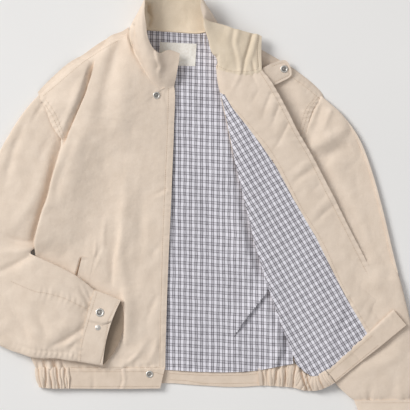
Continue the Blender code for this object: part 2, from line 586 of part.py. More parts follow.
# Sleeves and cuffs.
wall(
    "near_sleeve",
    tube(NEAR_SLEEVE_ROWS, 17, 14, 1),
    SHELL,
    material("near sleeve cotton", SAND, 0.85),
    root,
    ring=True,
)
wall(
    "near_cuff",
    tube(NEAR_CUFF_ROWS, 5, 14, 1),
    2 * SHELL,
    material("near cuff cotton", SAND, 0.85),
    root,
    ring=True,
)
wall(
    "far_sleeve",
    tube(FAR_SLEEVE_ROWS, 15, 14, -1),
    SHELL,
    material("far sleeve cotton", SAND, 0.85),
    root,
    ring=True,
)
wall(
    "far_cuff",
    tube(FAR_CUFF_ROWS, 4, 14, -1),
    2 * SHELL,
    material("far cuff cotton", SAND, 0.85),
    root,
    ring=True,
)

# Waistband.
BAND_PIECES = {
    "closed_front_band": strip(FRONT_BAND_ROWS, 6, 4),
    "closed_side_band": strip(SIDE_BAND_ROWS, 33, 3, 6),
    "back_band": strip(back_band_rows(), 12, 3),
    "opened_side_band": strip(OPEN_SIDE_BAND_ROWS, 31, 3, 6),
    "opened_front_band": strip(OPEN_BAND_ROWS, 7, 4),
}
for name, points in BAND_PIECES.items():
    wall(name, points, RIB, material(name.replace("_", " ") + " cotton", SAND, 0.85), root)

# Small pieces that lie on the cloth.
bpy.context.view_layer.update()
wall(
    "pocket_welt",
    on_cloth(top_of(front), POCKET_CORNERS, 5, 4, POCKET_WALL / 2 + 2 * SEAM),
    POCKET_WALL,
    material("pocket cotton", SAND, 0.85),
    root,
)
wall(
    "neck_label",
    on_cloth(top_of(lining), LABEL_CORNERS, 4, 5, LABEL_WALL / 2 + SEAM),
    LABEL_WALL,
    material("label tape", WHITE, 0.7),
    root,
)
wall("neck_tab", strip(TAB_ROWS, 9, 4), TAB_WALL, material("tab cotton", SAND, 0.85), root)
bpy.context.view_layer.update()
for name, base, centre, width in SNAPS:
    snap(name, base, centre, width, material(name + " steel", STEEL, 0.3, 1.0), root)
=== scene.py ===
import functools
import math

import bpy
import numpy as np
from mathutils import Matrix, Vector
from mathutils.bvhtree import BVHTree


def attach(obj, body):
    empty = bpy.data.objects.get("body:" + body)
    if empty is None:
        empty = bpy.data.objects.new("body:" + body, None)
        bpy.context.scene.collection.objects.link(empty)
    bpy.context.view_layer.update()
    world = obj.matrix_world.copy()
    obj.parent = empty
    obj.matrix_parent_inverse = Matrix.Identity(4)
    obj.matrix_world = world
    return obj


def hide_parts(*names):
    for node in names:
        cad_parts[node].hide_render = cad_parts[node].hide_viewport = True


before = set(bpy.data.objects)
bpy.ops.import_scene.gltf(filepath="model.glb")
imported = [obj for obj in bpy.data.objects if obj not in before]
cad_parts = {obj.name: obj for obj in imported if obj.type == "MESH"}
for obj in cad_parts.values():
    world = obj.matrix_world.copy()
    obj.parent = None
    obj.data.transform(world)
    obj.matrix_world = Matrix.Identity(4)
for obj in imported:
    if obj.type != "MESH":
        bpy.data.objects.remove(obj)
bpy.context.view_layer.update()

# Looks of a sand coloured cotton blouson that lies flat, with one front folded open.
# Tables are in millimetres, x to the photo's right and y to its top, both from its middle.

MM = 0.001
CENTRE = (-21.0, -8.8)  # middle of the laid-out garment in the frame of the tables
SHELL = 1.0  # wall of the outer cloth
LINING = 0.6  # wall of the lining, the facing and the label
RIB = 2.6  # wall of the waistband, which is doubled over
COLLAR_WALL = 2.0
CUFF_WALL = 1.8
TAB_WALL = 1.6
LOWEST = 0.15  # no cloth goes lower than this above the floor
LAYER_GAP = 0.1  # air between two layers that lie on each other
HEM_GAP = 0.6  # between the back's hem and the waistband below it
FRONT_SHARES = (0.12, 0.35, 0.65, 0.93, 1)  # places across the closed front that have a height of their own
TUBE_POWER = 0.78  # 1 makes a flat sleeve's section an ellipse, and less makes its edges fuller
LINING_FIRST_ROW = 1.4  # row of the opened front where its lining starts, below the facing at the neck
LINING_FIRST_PLACE = 4.1  # place across the opened front where its lining starts, on the roll
FOLD_END = 2.6  # a fold counts up to this many of its widths from its path
WELT_SWELL = 1.6  # height of the pocket welt's open edge
COLLAR_EASE = 22  # columns of the collar that are eased down with its sewn edge
COLLAR_BACK = (255, 280)  # y from where on the collar counts as its back
COLLAR_REACH = (7, 2.6)  # how far its sewn edge runs on, at the sides and at the back
COLLAR_LIFT = (-1.9, 1.7)  # and how much it rises on the way

# Back panel and then its lining, from the neck down to the hem.
BACK_ROWS = (
    # left edge, quarter, middle, three quarters, right edge
    ((-128.3, 298.5), (-90.1, 295.8), (-51, 292.4), (-11.9, 294.9), (25.5, 299.2)),
    ((-176.8, 277.1), (-112.2, 274.4), (-49.3, 272), (15.3, 271.3), (78.2, 268.3)),
    ((-227.8, 237.3), (-137.7, 236.3), (-47.6, 236.3), (42.5, 235.6), (133.4, 235.6)),
    ((-275.4, 190.7), (-158.1, 188.7), (-42.5, 187), (78.2, 186.2), (193.8, 186.3)),
    ((-264.3, 166.6), (-153, 166.6), (-42.5, 166.6), (69.7, 166.6), (182.8, 164)),
    ((-237.2, 108.8), (-139.4, 108.8), (-40.8, 108.8), (62.9, 108.8), (165.8, 108.8)),
    ((-215, 22.1), (-124.1, 20.4), (-32.3, 18.7), (56.1, 18.7), (143.7, 17)),
    ((-227.8, -17), (-132.6, -17), (-39.1, -18.7), (54.4, -18.7), (146.2, -18.7)),
    ((-249.9, -47.6), (-149.6, -49.3), (-47.6, -51), (51, -52.7), (149.6, -54.4)),
    ((-272, -69.7), (-164.9, -73.1), (-59.5, -76.5), (47.6, -79.9), (153, -81.6)),
    ((-283.9, -88.4), (-173.4, -93.5), (-64.6, -100.3), (45.9, -105.4), (154.7, -110.5)),
    ((-295.8, -137.7), (-181.9, -141.1), (-68, -144.5), (44.2, -147.9), (154.7, -151.3)),
    ((-299.2, -198.9), (-185.3, -200.6), (-71.4, -202.3), (42.5, -204), (154.7, -204)),
    ((-283.9, -275.4), (-170, -277.1), (-62.9, -277.6), (34, -281.9), (154.7, -266.1)),
)
LINING_ROWS = (
    # left edge, middle, right edge
    ((-108.8, 302.1, 2.1), (-51, 299.2, 2.1), (11.9, 296.1, 2.1)),
    ((-107.1, 273.7, 2.1), (-42.5, 272, 2.6), (15.3, 272, 3)),
    ((-93.5, 243.1, 2.1), (-32.3, 239.7, 3), (23.8, 243.1, 3.4)),
    ((-69.7, 192.1, 2.1), (-17, 192.1, 3.4), (37.4, 192.1, 3)),
    ((-71.4, 119, 2.1), (-10.2, 119, 3.2), (54.4, 119, 3.4)),
    ((-74.8, 25.5, 2.1), (-1.7, 25.5, 3.6), (76.5, 25.5, 3)),
    ((-78.2, -59.5, 2.1), (10.2, -59.5, 3), (98.6, -59.5, 3.4)),
    ((-80.8, -144.5, 2.1), (20.4, -144.5, 4), (122.4, -144.5, 3)),
    ((-81.6, -212.5, 2.1), (28.9, -212.5, 3), (144.5, -212.5, 3.4)),
    ((-81.6, -276.6, 2.1), (11.9, -280.5, 2.4), (149.6, -266.1, 2.1)),
)
HEM_LINE = (
    # x, y along the lower edge of the back, where the waistband is sewn on
    (-283.9, -275.4),
    (-170, -277.1),
    (-62.9, -277.6),
    (-8.5, -281),
    (34, -281.9),
    (68, -280.8),
    (93.5, -278.1),
    (119, -273),
    (154.7, -266.1),
)
# Front with its outside up, from the shoulder seam down to the waistband.
FRONT_ROWS = (
    # left and right in plan, tuck, roll, how far the row bows up its middle, and heights at the left edge,
    # at 12, 35, 65 and 93 per cent, and at the right
    ((-280.8, 188.4), (-130, 299.4), 2, 0.8, 7, (3.4, 3.2, 3.2, 3.2, 3.2, 3.2)),
    ((-276.1, 180.2), (-128.3, 289), 2, 1.2, 5.5, (8, 9.5, 11, 12, 11, 8)),
    ((-265.2, 164), (-122.4, 266.9), 2, 1.2, 3, (10, 11, 10, 16, 15, 11)),
    ((-253.3, 137), (-106.2, 232.9), 2, 1.5, 1, (11.5, 9.5, 20, 19, 17, 14)),
    ((-243.4, 109.1), (-92.6, 210.8), 8, 3, 0, (18, 22, 22, 19, 16, 15)),
    ((-249.9, 79.9), (-73.1, 198), 14, 4, 0, (24, 26, 23, 18, 14, 13)),
    ((-259.8, 45.9), (-52.4, 201.1), 16, 4.2, 0, (25, 26, 23, 17, 11, 10)),
    ((-267.9, 11.9), (-52.7, 130.9), 15, 4, 0, (24, 25, 21, 15, 9, 7)),
    ((-278.8, -18.7), (-55.4, 62.9), 14, 3.6, 0, (23, 22, 19, 14, 8.5, 6.5)),
    ((-288.1, -59.5), (-57.8, 0), 7, 2.2, 0, (20.5, 19, 16, 12.5, 8, 6.5)),
    ((-287.3, -93.5), (-60.2, -52.7), 6, 2, 0, (9.5, 9.8, 11, 11, 8, 6.5)),
    ((-300.9, -141.1), (-62.6, -107.1), 8, 2.5, 0, (8.8, 9.2, 10, 10.5, 8.5, 6.5)),
    ((-309.4, -190.4), (-64.9, -166.6), 8, 3, 0, (9.2, 9.6, 10, 10.5, 8.5, 6.5)),
    ((-302.6, -238), (-66.6, -222.7), 7, 2.6, 0, (9.2, 9.8, 10, 10.3, 8.5, 6.5)),
    ((-285.6, -278.1), (-67.5, -278.8), 5, 2, 0, (8, 8.2, 8.2, 8.2, 8, 7)),
)
# Front that is opened and folded back, from the neck down to the waistband.
OPEN_ROWS = (
    # seam end, near it, middle and inner end of the part that stays down, fold, and five places from
    # there to the front edge
    ((28.1, 298.3, 3.2), (27, 292.1, 6), (22.9, 266.9, 8), (22.1, 244.8, 13), (19.6, 235.4, 19),
     (23.8, 230.2, 25), (42.5, 224.4, 26), (62.9, 221.7, 25.5), (81.6, 222.7, 24.5), (96.9, 228.3, 23.5)),
    ((97.8, 258.7, 3.2), (89.4, 251.6, 7.5), (59.5, 229.5, 9), (30.6, 202.3, 8), (22.9, 205.7, 15.5),
     (29.8, 202.3, 23.5), (54.4, 197.2, 26.5), (78.2, 196.3, 26.5), (98.6, 202.3, 26),
     (112.2, 209.1, 25)),
    ((153, 225.6, 3.2), (140.8, 217.9, 7.5), (93.5, 195.5, 9), (39.1, 161.5, 6.5), (31.4, 171.7, 12.5),
     (39.1, 168.3, 20.5), (64.6, 164.9, 25), (91.8, 166.6, 26.5), (113.9, 171.7, 26),
     (129.2, 180.2, 24.5)),
    ((197.2, 185.3, 4), (179.9, 179.2, 8), (113.9, 158.1, 9.5), (47.6, 130.9, 6), (38.2, 141.1, 11.5),
     (45.9, 137.7, 18), (73.1, 134.3, 22.5), (102, 139.4, 24.5), (127.5, 146.2, 25), (142.8, 154.7, 24)),
    ((180.7, 158.1, 9), (168, 151.3, 9.6), (117.3, 124.1, 9.5), (52.7, 102, 6), (45, 107.1, 10.5),
     (52.7, 103.7, 16.5), (79.9, 102, 19.5), (110.5, 108.8, 22.5), (139.4, 117.3, 24),
     (158.1, 124.1, 23.5)),
    ((163.2, 90.1, 9), (153.3, 85.7, 9.3), (113.9, 68, 9), (62.9, 56.1, 5.8), (54.4, 62.9, 10),
     (62, 59.5, 15), (88.4, 59.5, 17), (122.4, 66.3, 20), (156.4, 76.5, 23), (180.2, 86.7, 22.5)),
    ((145, 18.7, 8), (138, 16, 8.6), (110.5, 5.1, 8.5), (76.5, 1.7, 5.8), (68, 6.8, 9.2), (75.6, 3.4, 14),
     (105.4, 5.1, 15.5), (142.8, 8.5, 18.5), (181.9, 15.3, 21.5), (214.2, 22.1, 21.5)),
    ((149.6, -56.1, 8), (143.8, -57.1, 8.4), (120.7, -61.2, 8.5), (92.6, -64.6, 5.8), (84.1, -59.5, 8.8),
     (91.8, -62.9, 13), (122.4, -62.9, 14), (161.5, -57.8, 17), (205.7, -51, 20), (246.5, -42.5, 20)),
    ((153, -134.3, 8), (149.3, -134.6, 8.4), (134.3, -136, 8.5), (113.9, -137.7, 5.6),
     (105.4, -130.9, 8.2), (113, -134.3, 12.5), (142.8, -134.3, 13.5), (183.6, -125.8, 17.5),
     (231.2, -112.2, 20), (276.2, -98.6, 19.5)),
    ((154.7, -205.7, 8), (153, -205.7, 8.4), (146.2, -205.7, 8), (137.7, -205.7, 5.4),
     (129.2, -200.6, 7.8), (136.8, -205.7, 12), (161.5, -209.1, 13), (198.9, -195.5, 18),
     (251.6, -168.3, 20.5), (301.8, -142.8, 19)),
    ((156.4, -239.7, 7), (155.7, -239.7, 7.4), (153, -239.7, 7), (148.8, -238, 5), (142.8, -234.6, 7.4),
     (148.8, -241.4, 11.2), (171.7, -251.6, 12.3), (205.7, -241.4, 17.5), (258.4, -200.6, 20.5),
     (311.9, -161.5, 18.5)),
    ((158.9, -265.2, 6), (158.8, -265, 6), (158.1, -264.3, 5.6), (157.2, -262.6, 4.6), (153.8, -263.5, 7),
     (160.7, -275.4, 10.2), (183.6, -290.4, 11.5), (209.1, -279.5, 15), (263.5, -231.5, 20),
     (320.4, -178.8, 18)),
)
FACING_SEAM = (
    # row of the opened front, and the place in it where the lining ends and the facing starts
    (1.4, 5),
    (2, 5.3),
    (3, 5.93),
    (4, 6.46),
    (5, 6.94),
    (6, 7.19),
    (7, 7.6),
    (8, 7.73),
    (9, 7.92),
    (10, 8.09),
    (11, 8.23),
)
# Stand collar, from the front end of the closed side round the neck to the end of the opened side.
COLLAR_ROWS = (
    # seam, quarter, middle, three quarters, top edge
    ((-52.4, 203.5, 11), (-49.3, 217.6, 15), (-46.8, 231.2, 17), (-44.2, 244.8, 18), (-43.2, 257.6, 17)),
    ((-72.2, 201.1, 14.5), (-69.7, 215.9, 19), (-67.1, 231.2, 21.5), (-64.6, 248.2, 24),
     (-61.2, 263, 23)),
    ((-91.3, 213.9, 16), (-89.2, 226.1, 25), (-85.8, 238, 31), (-81.6, 248.2, 33), (-76.5, 256.9, 31)),
    ((-104.7, 235.6, 15), (-103.7, 246.5, 27), (-99.5, 255, 35), (-94.3, 261.8, 38),
     (-88.4, 266.2, 36.5)),
    ((-117, 259.6, 13.5), (-115.6, 268.6, 27), (-110.5, 275.4, 37), (-103.7, 280.5, 42),
     (-96.9, 283.9, 41)),
    ((-125.5, 282.2, 11), (-123.8, 292.4, 25), (-117.6, 299.9, 37), (-109.1, 304, 44.5),
     (-99.8, 305.7, 44)),
    ((-126.8, 300.2, 6), (-122.4, 310.1, 20), (-115.9, 318.9, 34), (-108.8, 325.4, 43),
     (-102.3, 329.1, 44)),
    ((-116.5, 300.9, 4.6), (-111.5, 318.6, 12), (-107.1, 333.2, 25), (-102.7, 345.1, 36),
     (-99.5, 353.6, 40)),
    ((-93.5, 299.4, 4.4), (-92.6, 316.2, 7), (-90.1, 333.2, 13), (-87.5, 348.5, 22), (-84.1, 362.1, 31)),
    ((-51, 296.1, 4.4), (-51, 312.8, 5), (-51, 329.8, 8.5), (-51, 346.8, 14), (-51, 362.9, 21)),
    ((-10.2, 294.1, 4.4), (-12.8, 314.5, 7), (-16.1, 331.5, 13), (-18.7, 348.5, 22), (-22.9, 362.1, 31)),
    ((12.8, 301.2, 4.6), (8.5, 318.6, 12), (2.7, 333.2, 25), (-2.7, 345.1, 36), (-7.6, 353.6, 40)),
    ((24.8, 300.6, 6), (19.4, 310.4, 18), (10.9, 321.6, 31), (1.7, 327.8, 40), (-7.1, 331.5, 42)),
    ((26.9, 287.3, 9), (15.3, 295.8, 24), (0.8, 302.6, 37), (-1.2, 310.2, 42), (0.8, 315.2, 41.5)),
    ((24.8, 270.3, 11), (15.3, 274.6, 25), (6.5, 279.6, 34), (10.2, 295.8, 37), (16.1, 309.1, 34)),
    ((23.8, 251.6, 15), (17.8, 254.2, 26), (13.9, 259.2, 32), (22.1, 283.9, 34), (32.3, 305.1, 31)),
    ((23.5, 232.7, 25.3), (26.3, 246.5, 30), (31.4, 263.5, 33), (39.1, 282.2, 33), (47.6, 299.5, 29.5)),
    ((42.5, 226.3, 26.3), (47.6, 243.1, 29.5), (52.7, 260.1, 31), (58.6, 278.8, 29.5),
     (64.6, 294.9, 25.5)),
    ((62.9, 223.5, 26), (65.5, 239.7, 28), (68.8, 256.7, 29), (73.1, 274.6, 27), (76.5, 291.9, 23)),
    ((81.3, 224.9, 25), (82.5, 239.7, 26), (84.1, 255, 26), (85.8, 272, 23.5), (87.4, 289.7, 20)),
    ((96.2, 229.2, 23.5), (95.5, 244.8, 23.5), (95.2, 258.4, 22.5), (95.5, 272, 20.5), (96, 286.4, 18)),
)
# Sleeve on the closed side, from the armhole round the elbow to the cuff seam.
NEAR_SLEEVE_ROWS = (
    # inner edge, outer edge, heights of the underside at both, thickness, bows of the top and underside
    ((-219.3, 23.8), (-281.7, 187), 1.3, 1.3, 9, -7, -7),
    ((-224.4, 1.7), (-314.5, 147.9), 1.3, 1.3, 12.5, -3, -3),
    ((-239.7, -25.5), (-346.8, 93.5), 1.3, 1.3, 13, 0, 0),
    ((-260.1, -47.6), (-382.5, 25.5), 1.3, 1.3, 13, 0, 0),
    ((-282.2, -65.5), (-413.1, -45.9), 1.9, 1.3, 13, 0, 0),
    ((-293.2, -75.6), (-423.3, -113.9), 5.9, 1.3, 14.5, 0, 0),
    ((-296.6, -80.8), (-404.6, -181.9), 9.9, 1.3, 14, 0, 0),
    ((-292.4, -85), (-357, -232.9), 13.5, 3.5, 12.5, 0, 0),
    ((-268.6, -95.2), (-292.4, -257.6), 14.6, 13.2, 11.5, 0, 0),
    ((-236.3, -110.5), (-253.3, -260.1), 14.6, 13.4, 12, 0, 0),
    ((-209.1, -127), (-229.5, -264), 14.6, 13.6, 12, 0, 0),
    ((-187.7, -144.7), (-215.6, -264.9), 14.6, 13.8, 9.5, -3, -3),
)
NEAR_CUFF_ROWS = (
    ((-187.2, -144.8), (-215, -265), 14.4, 13.8, 10.3, -3, -3),
    ((-166.6, -152.2), (-193.8, -268.6), 14.6, 13.8, 10.5, -4, 5),
    ((-142.8, -162), (-173.4, -271.7), 14.6, 13.8, 10.5, -6, 17),
)
# Sleeve on the opened side.
FAR_SLEEVE_ROWS = (
    ((147, 17), (199.8, 182.8), 1.3, 1.3, 9.5, -7.5, -7.5),
    ((151.3, -3.4), (232.9, 153), 1.3, 1.3, 12.5, -3, -3),
    ((153.8, -23.8), (261.8, 112.2), 1.3, 1.3, 13, 0, 0),
    ((156.4, -47.6), (283.1, 57.8), 1.3, 1.3, 13, 0, 0),
    ((159.8, -79.9), (302.6, -11.9), 1.3, 1.3, 13, 0, 0),
    ((164.9, -119), (317.9, -76.5), 1.3, 1.3, 13, 0, 0),
    ((173.4, -166.6), (334.9, -144.5), 1.3, 1.3, 13, 0, 0),
    ((187, -219.3), (351.9, -212.5), 1.3, 1.3, 13, 0, 0),
    ((205.7, -266.9), (365.5, -266.9), 1.3, 1.3, 13, 0, 0),
    ((221.8, -301.8), (374.8, -304.3), 1.3, 1.3, 13, 0, 0),
    ((241.4, -322.1), (378.2, -319.6), 1.3, 1.3, 12, 0, 0),
    ((254.2, -331.5), (379.1, -330.1), 1.3, 1.3, 9.5, 0, 0),
)
FAR_CUFF_ROWS = (
    ((254.3, -332.2), (379.3, -330.8), 1.9, 1.9, 9, 0, 0),
    ((262.6, -353.6), (379.9, -353.6), 1.9, 1.9, 10, 0, 2),
    ((270.3, -377.4), (380.8, -377.4), 1.9, 1.9, 10.5, -2, 4),
)
# Waistband pieces: upper edge and lower edge, from one end to the other.
FRONT_BAND_ROWS = (
    ((-229.5, -279, 8.6), (-229.5, -311.6, 8.4)),
    ((-178.5, -279.1, 8.6), (-181.9, -312.1, 8.4)),
    ((-119, -279.3, 8.6), (-124.1, -312.1, 8.4)),
    ((-68.7, -279.6, 8.2), (-76.2, -311.6, 8)),
)
SIDE_BAND_ROWS = (
    # over the top from the front, round the side and back underneath
    ((-230.2, -279, 8.6), (-230.2, -311.4, 8.4)),
    ((-253.3, -279, 9.2), (-253.3, -311.8, 9)),
    ((-273.7, -279.3, 9.2), (-269.4, -310.8, 9)),
    ((-282.9, -280.2, 7.6), (-277.8, -310.1, 7.4)),
    ((-285.9, -280.8, 5.2), (-280.5, -309.4, 5.2)),
    ((-282.9, -279.8, 3), (-277.8, -309.1, 3)),
    ((-273.7, -277.8, 2.3), (-269.4, -309.1, 2.3)),
    ((-253.3, -277.8, 2.3), (-253.3, -308.7, 2.3)),
    ((-230.2, -277.4, 2.3), (-230.2, -308.4, 2.3)),
)
OPEN_SIDE_BAND_ROWS = (
    ((94.2, -279.1, 1.9), (96, -306.7, 1.9)),
    ((119, -274.2, 2.6), (122.4, -307.9, 2.4)),
    ((149.6, -271.3, 3.4), (148.8, -310.1, 3)),
    ((167.4, -286.3, 5.5), (172.5, -315.2, 4.2)),
    ((185.3, -293.4, 9.5), (197.2, -312.8, 8)),
    ((206.7, -283.2, 15), (221.5, -300.7, 14.3)),
)
OPEN_BAND_ROWS = (
    ((207.4, -282.5, 15.6), (222.2, -300.1, 15.4)),
    ((241.4, -252.6, 18.4), (257.6, -271.3, 18)),
    ((277.9, -220.7, 20.3), (294.9, -241.7, 19.5)),
    ((321.8, -180.2, 18.4), (341.4, -203.7, 18)),
)
BACK_BAND_DEPTHS = (
    # x along the waistband and how far it reaches below the hem line
    (-229.5, 30.4),
    (-62.9, 24),
    (3.4, 25.2),
    (93.5, 28.4),
)
POCKET_CORNERS = ((-209.1, -87.5), (-188.7, -89.2), (-198, -132.6), (-219.3, -130))
LABEL_CORNERS = ((-76.5, 276.9), (-14.3, 273.9), (-16.7, 235.8), (-78.5, 238))
TAB_ROWS = (
    # upper and lower edge, from under the front edge to the tip
    ((89.2, 225.2, 22), (99.5, 197.2, 23)),
    ((102, 234.6, 19.5), (108.8, 200.6, 20.5)),
    ((114.2, 240.4, 16.5), (119.8, 204.3, 17.5)),
    ((131.9, 245.8, 13.5), (134.3, 211.5, 14)),
    ((140.1, 242.8, 12.5), (141.6, 215.2, 12.8)),
    ((146.7, 230.3, 12), (147.2, 221, 12)),
)
SNAPS = (
    # name, the piece it sits on, x and y, width
    ("neck_snap", "closed_front", (-82.3, 186.3), 12.5),
    ("hem_snap", "closed_front_band", (-94.3, -287.3), 12.5),
    ("tab_snap", "neck_tab", (134.3, 230.9), 13.0),
    ("near_cuff_snap", "near_cuff", (-178.2, -182.2), 15.0),
    ("near_cuff_stud", "near_cuff", (-181.6, -207.9), 9.0),
    ("far_cuff_snap", "far_cuff", (295.8, -355.3), 15.0),
    ("far_cuff_stud", "far_cuff", (321.3, -353.6), 9.0),
)

# Colours, as sRGB hex.
SAND_PALE = "#F0DFCE"
SAND_DEEP = "#E2D0BE"
# A yellower copy of the sand twill for the collar: painted shade and warm bounced light inside the collar.
STRAW_PALE = "#EFDFC9"
STRAW_DEEP = "#E1D0B8"
BAND_PALE = "#ECDAC9"
BAND_DEEP = "#DDCBB8"
# The twill inside the sleeves and cuffs is darker: painted shade of the tube's inside.
TUBE_SHADE_PALE = "#AE9A87"
TUBE_SHADE_DEEP = "#9A8875"
TAPE_PALE = "#FAF7F1"
TAPE_DEEP = "#EFEAE1"
# Thread darker than the cloth: painted shade of the needle holes and dimples along each stitch line.
THREAD_PALE = "#DCC8B2"
THREAD_DEEP = "#BFA88F"
TACK_PALE = "#8E6F58"
TACK_DEEP = "#6F5340"
NICKEL_PALE = "#F4F1EC"
NICKEL_DEEP = "#D8D4CE"
# Darker nickel in the snap's recessed middle: painted shade.
HOLLOW_PALE = "#B2AEA9"
HOLLOW_DEEP = "#8F8B86"
FLOOR_PALE = "#F3F2F1"
FLOOR_DEEP = "#F0EFEE"
CHECK_TINTS = ((0, "#EAE8F0"), (0.5, "#7F7B83"), (1, "#262229"))

# The check, in metres: warp and weft lines come in pairs.
WARP_PERIOD = 0.0094
WARP_PAIR = 0.0036
WEFT_PERIOD = 0.0117
WEFT_PAIR = 0.0042
YARN_LINE = 0.0011  # a group of single yarns, drawn a little wider than the real one, so that it shows
WEFT_SHARE = 0.37  # of the darkness
BETWEEN_SHARE = 0.3  # darkness between the two lines of a pair
TAPE_RIB = 0.0008  # between the ribs of the label's tape
WALE = 0.0011  # between the wales of the twill, twice as coarse as real ones, so that they show
BACK_CHECK_TURN = 0.0
BACK_WEFT_SLOPE = 0.065  # the back lies a little out of square
FLAP_CHECK_TURN = -0.5435  # the warp runs along the seam of the facing

# Topstitching, drawn in a thread twice as thick as the real one, so that it shows.
STITCH_PITCH = 3.3
STITCH_LENGTH = 2.5
THREAD = 0.8

# Snaps: share of the width, height, and 0 for bright metal or 1 for the darker metal of the painted shade in
# the hollow, from the rim to the middle.
CAP_PROFILE = (
    (0.5, 0, 0),
    (0.5, 0.7, 0),
    (0.48, 1.15, 0),
    (0.43, 1.45, 0),
    (0.37, 1.5, 0),
    (0.32, 1.3, 0),
    (0.29, 0.8, 1),
    (0.27, 0.6, 1),
    (0.14, 0.6, 1),
    (0.11, 0.85, 1),
    (0.02, 0.95, 1),
)
STUD_PROFILE = (
    (0.5, 0, 0),
    (0.5, 0.4, 0),
    (0.45, 0.65, 0),
    (0.3, 0.7, 0),
    (0.26, 1.3, 0),
    (0.24, 1.75, 0),
    (0.16, 2, 0),
    (0.02, 2.05, 0),
)

# Light: position in metres, power in watts, size in metres and colour.
ROOM = "#FFFFFF"
WALL_GLOW = 0.12
CEILING_GLOW = 0.6
LAMPS = (
    ("window light", (-6.4, 3.9, 5.8), 655, 4.2, "#FFFEFC"),
    ("fill light", (5.5, -3.5, 6.5), 25, 5, "#F6F8FF"),
)
VIEW_HEIGHT = 9  # of the camera, in metres
VIEW_SPAN = 0.697  # width of what it sees
SENSOR = 36  # in millimetres

# Cloth that runs on past its seams.
SLEEVE_ENDS = (("first row", 9, -6), ("last row", 4, 0))
BAND_TOP = (("first column", 3, -2),)
CARRIED = {
    # node: edges of its grid, how far the cloth runs on past them, and how much it rises on the way
    "back_lining": (("last row", 2.6, 1.6),),
    "closed_front": (("first row", 4.2, -1),),
    "opened_front": (("first column", 3.4, -2.6),),
    "near_sleeve": SLEEVE_ENDS,
    "far_sleeve": SLEEVE_ENDS,
    "closed_front_band": BAND_TOP,
    "closed_side_band": BAND_TOP,
    "back_band": BAND_TOP,
    "opened_side_band": (*BAND_TOP, ("first row", 4, 0.4)),
    "opened_front_band": BAND_TOP,
}

# Lines that more than one table follows.
ARMHOLE_FOLD = (
    (-235.3, 110.5), (-225.1, 131.8), (-215.2, 155), (-206.4, 175.1), (-198.9, 193.8), (-193.1, 219.3),
    (-187, 246.5),
)
NEAR_ARMHOLE = ((-280.5, 187), (-264.3, 161.5), (-251.6, 134.3), (-242.1, 108.8))
NEAR_CUFF_SEAM = ((-187, -146.2), (-198.9, -187), (-212.5, -238), (-215.9, -265.2))
FRONT_HEM = ((-229.5, -278.8), (-68, -278.8))
TAB_EDGE = (
    (114.8, 236), (131.4, 241.1), (138, 238.7), (142.1, 229.5), (142.6, 221), (139.1, 218.6),
    (119, 208.8),
)

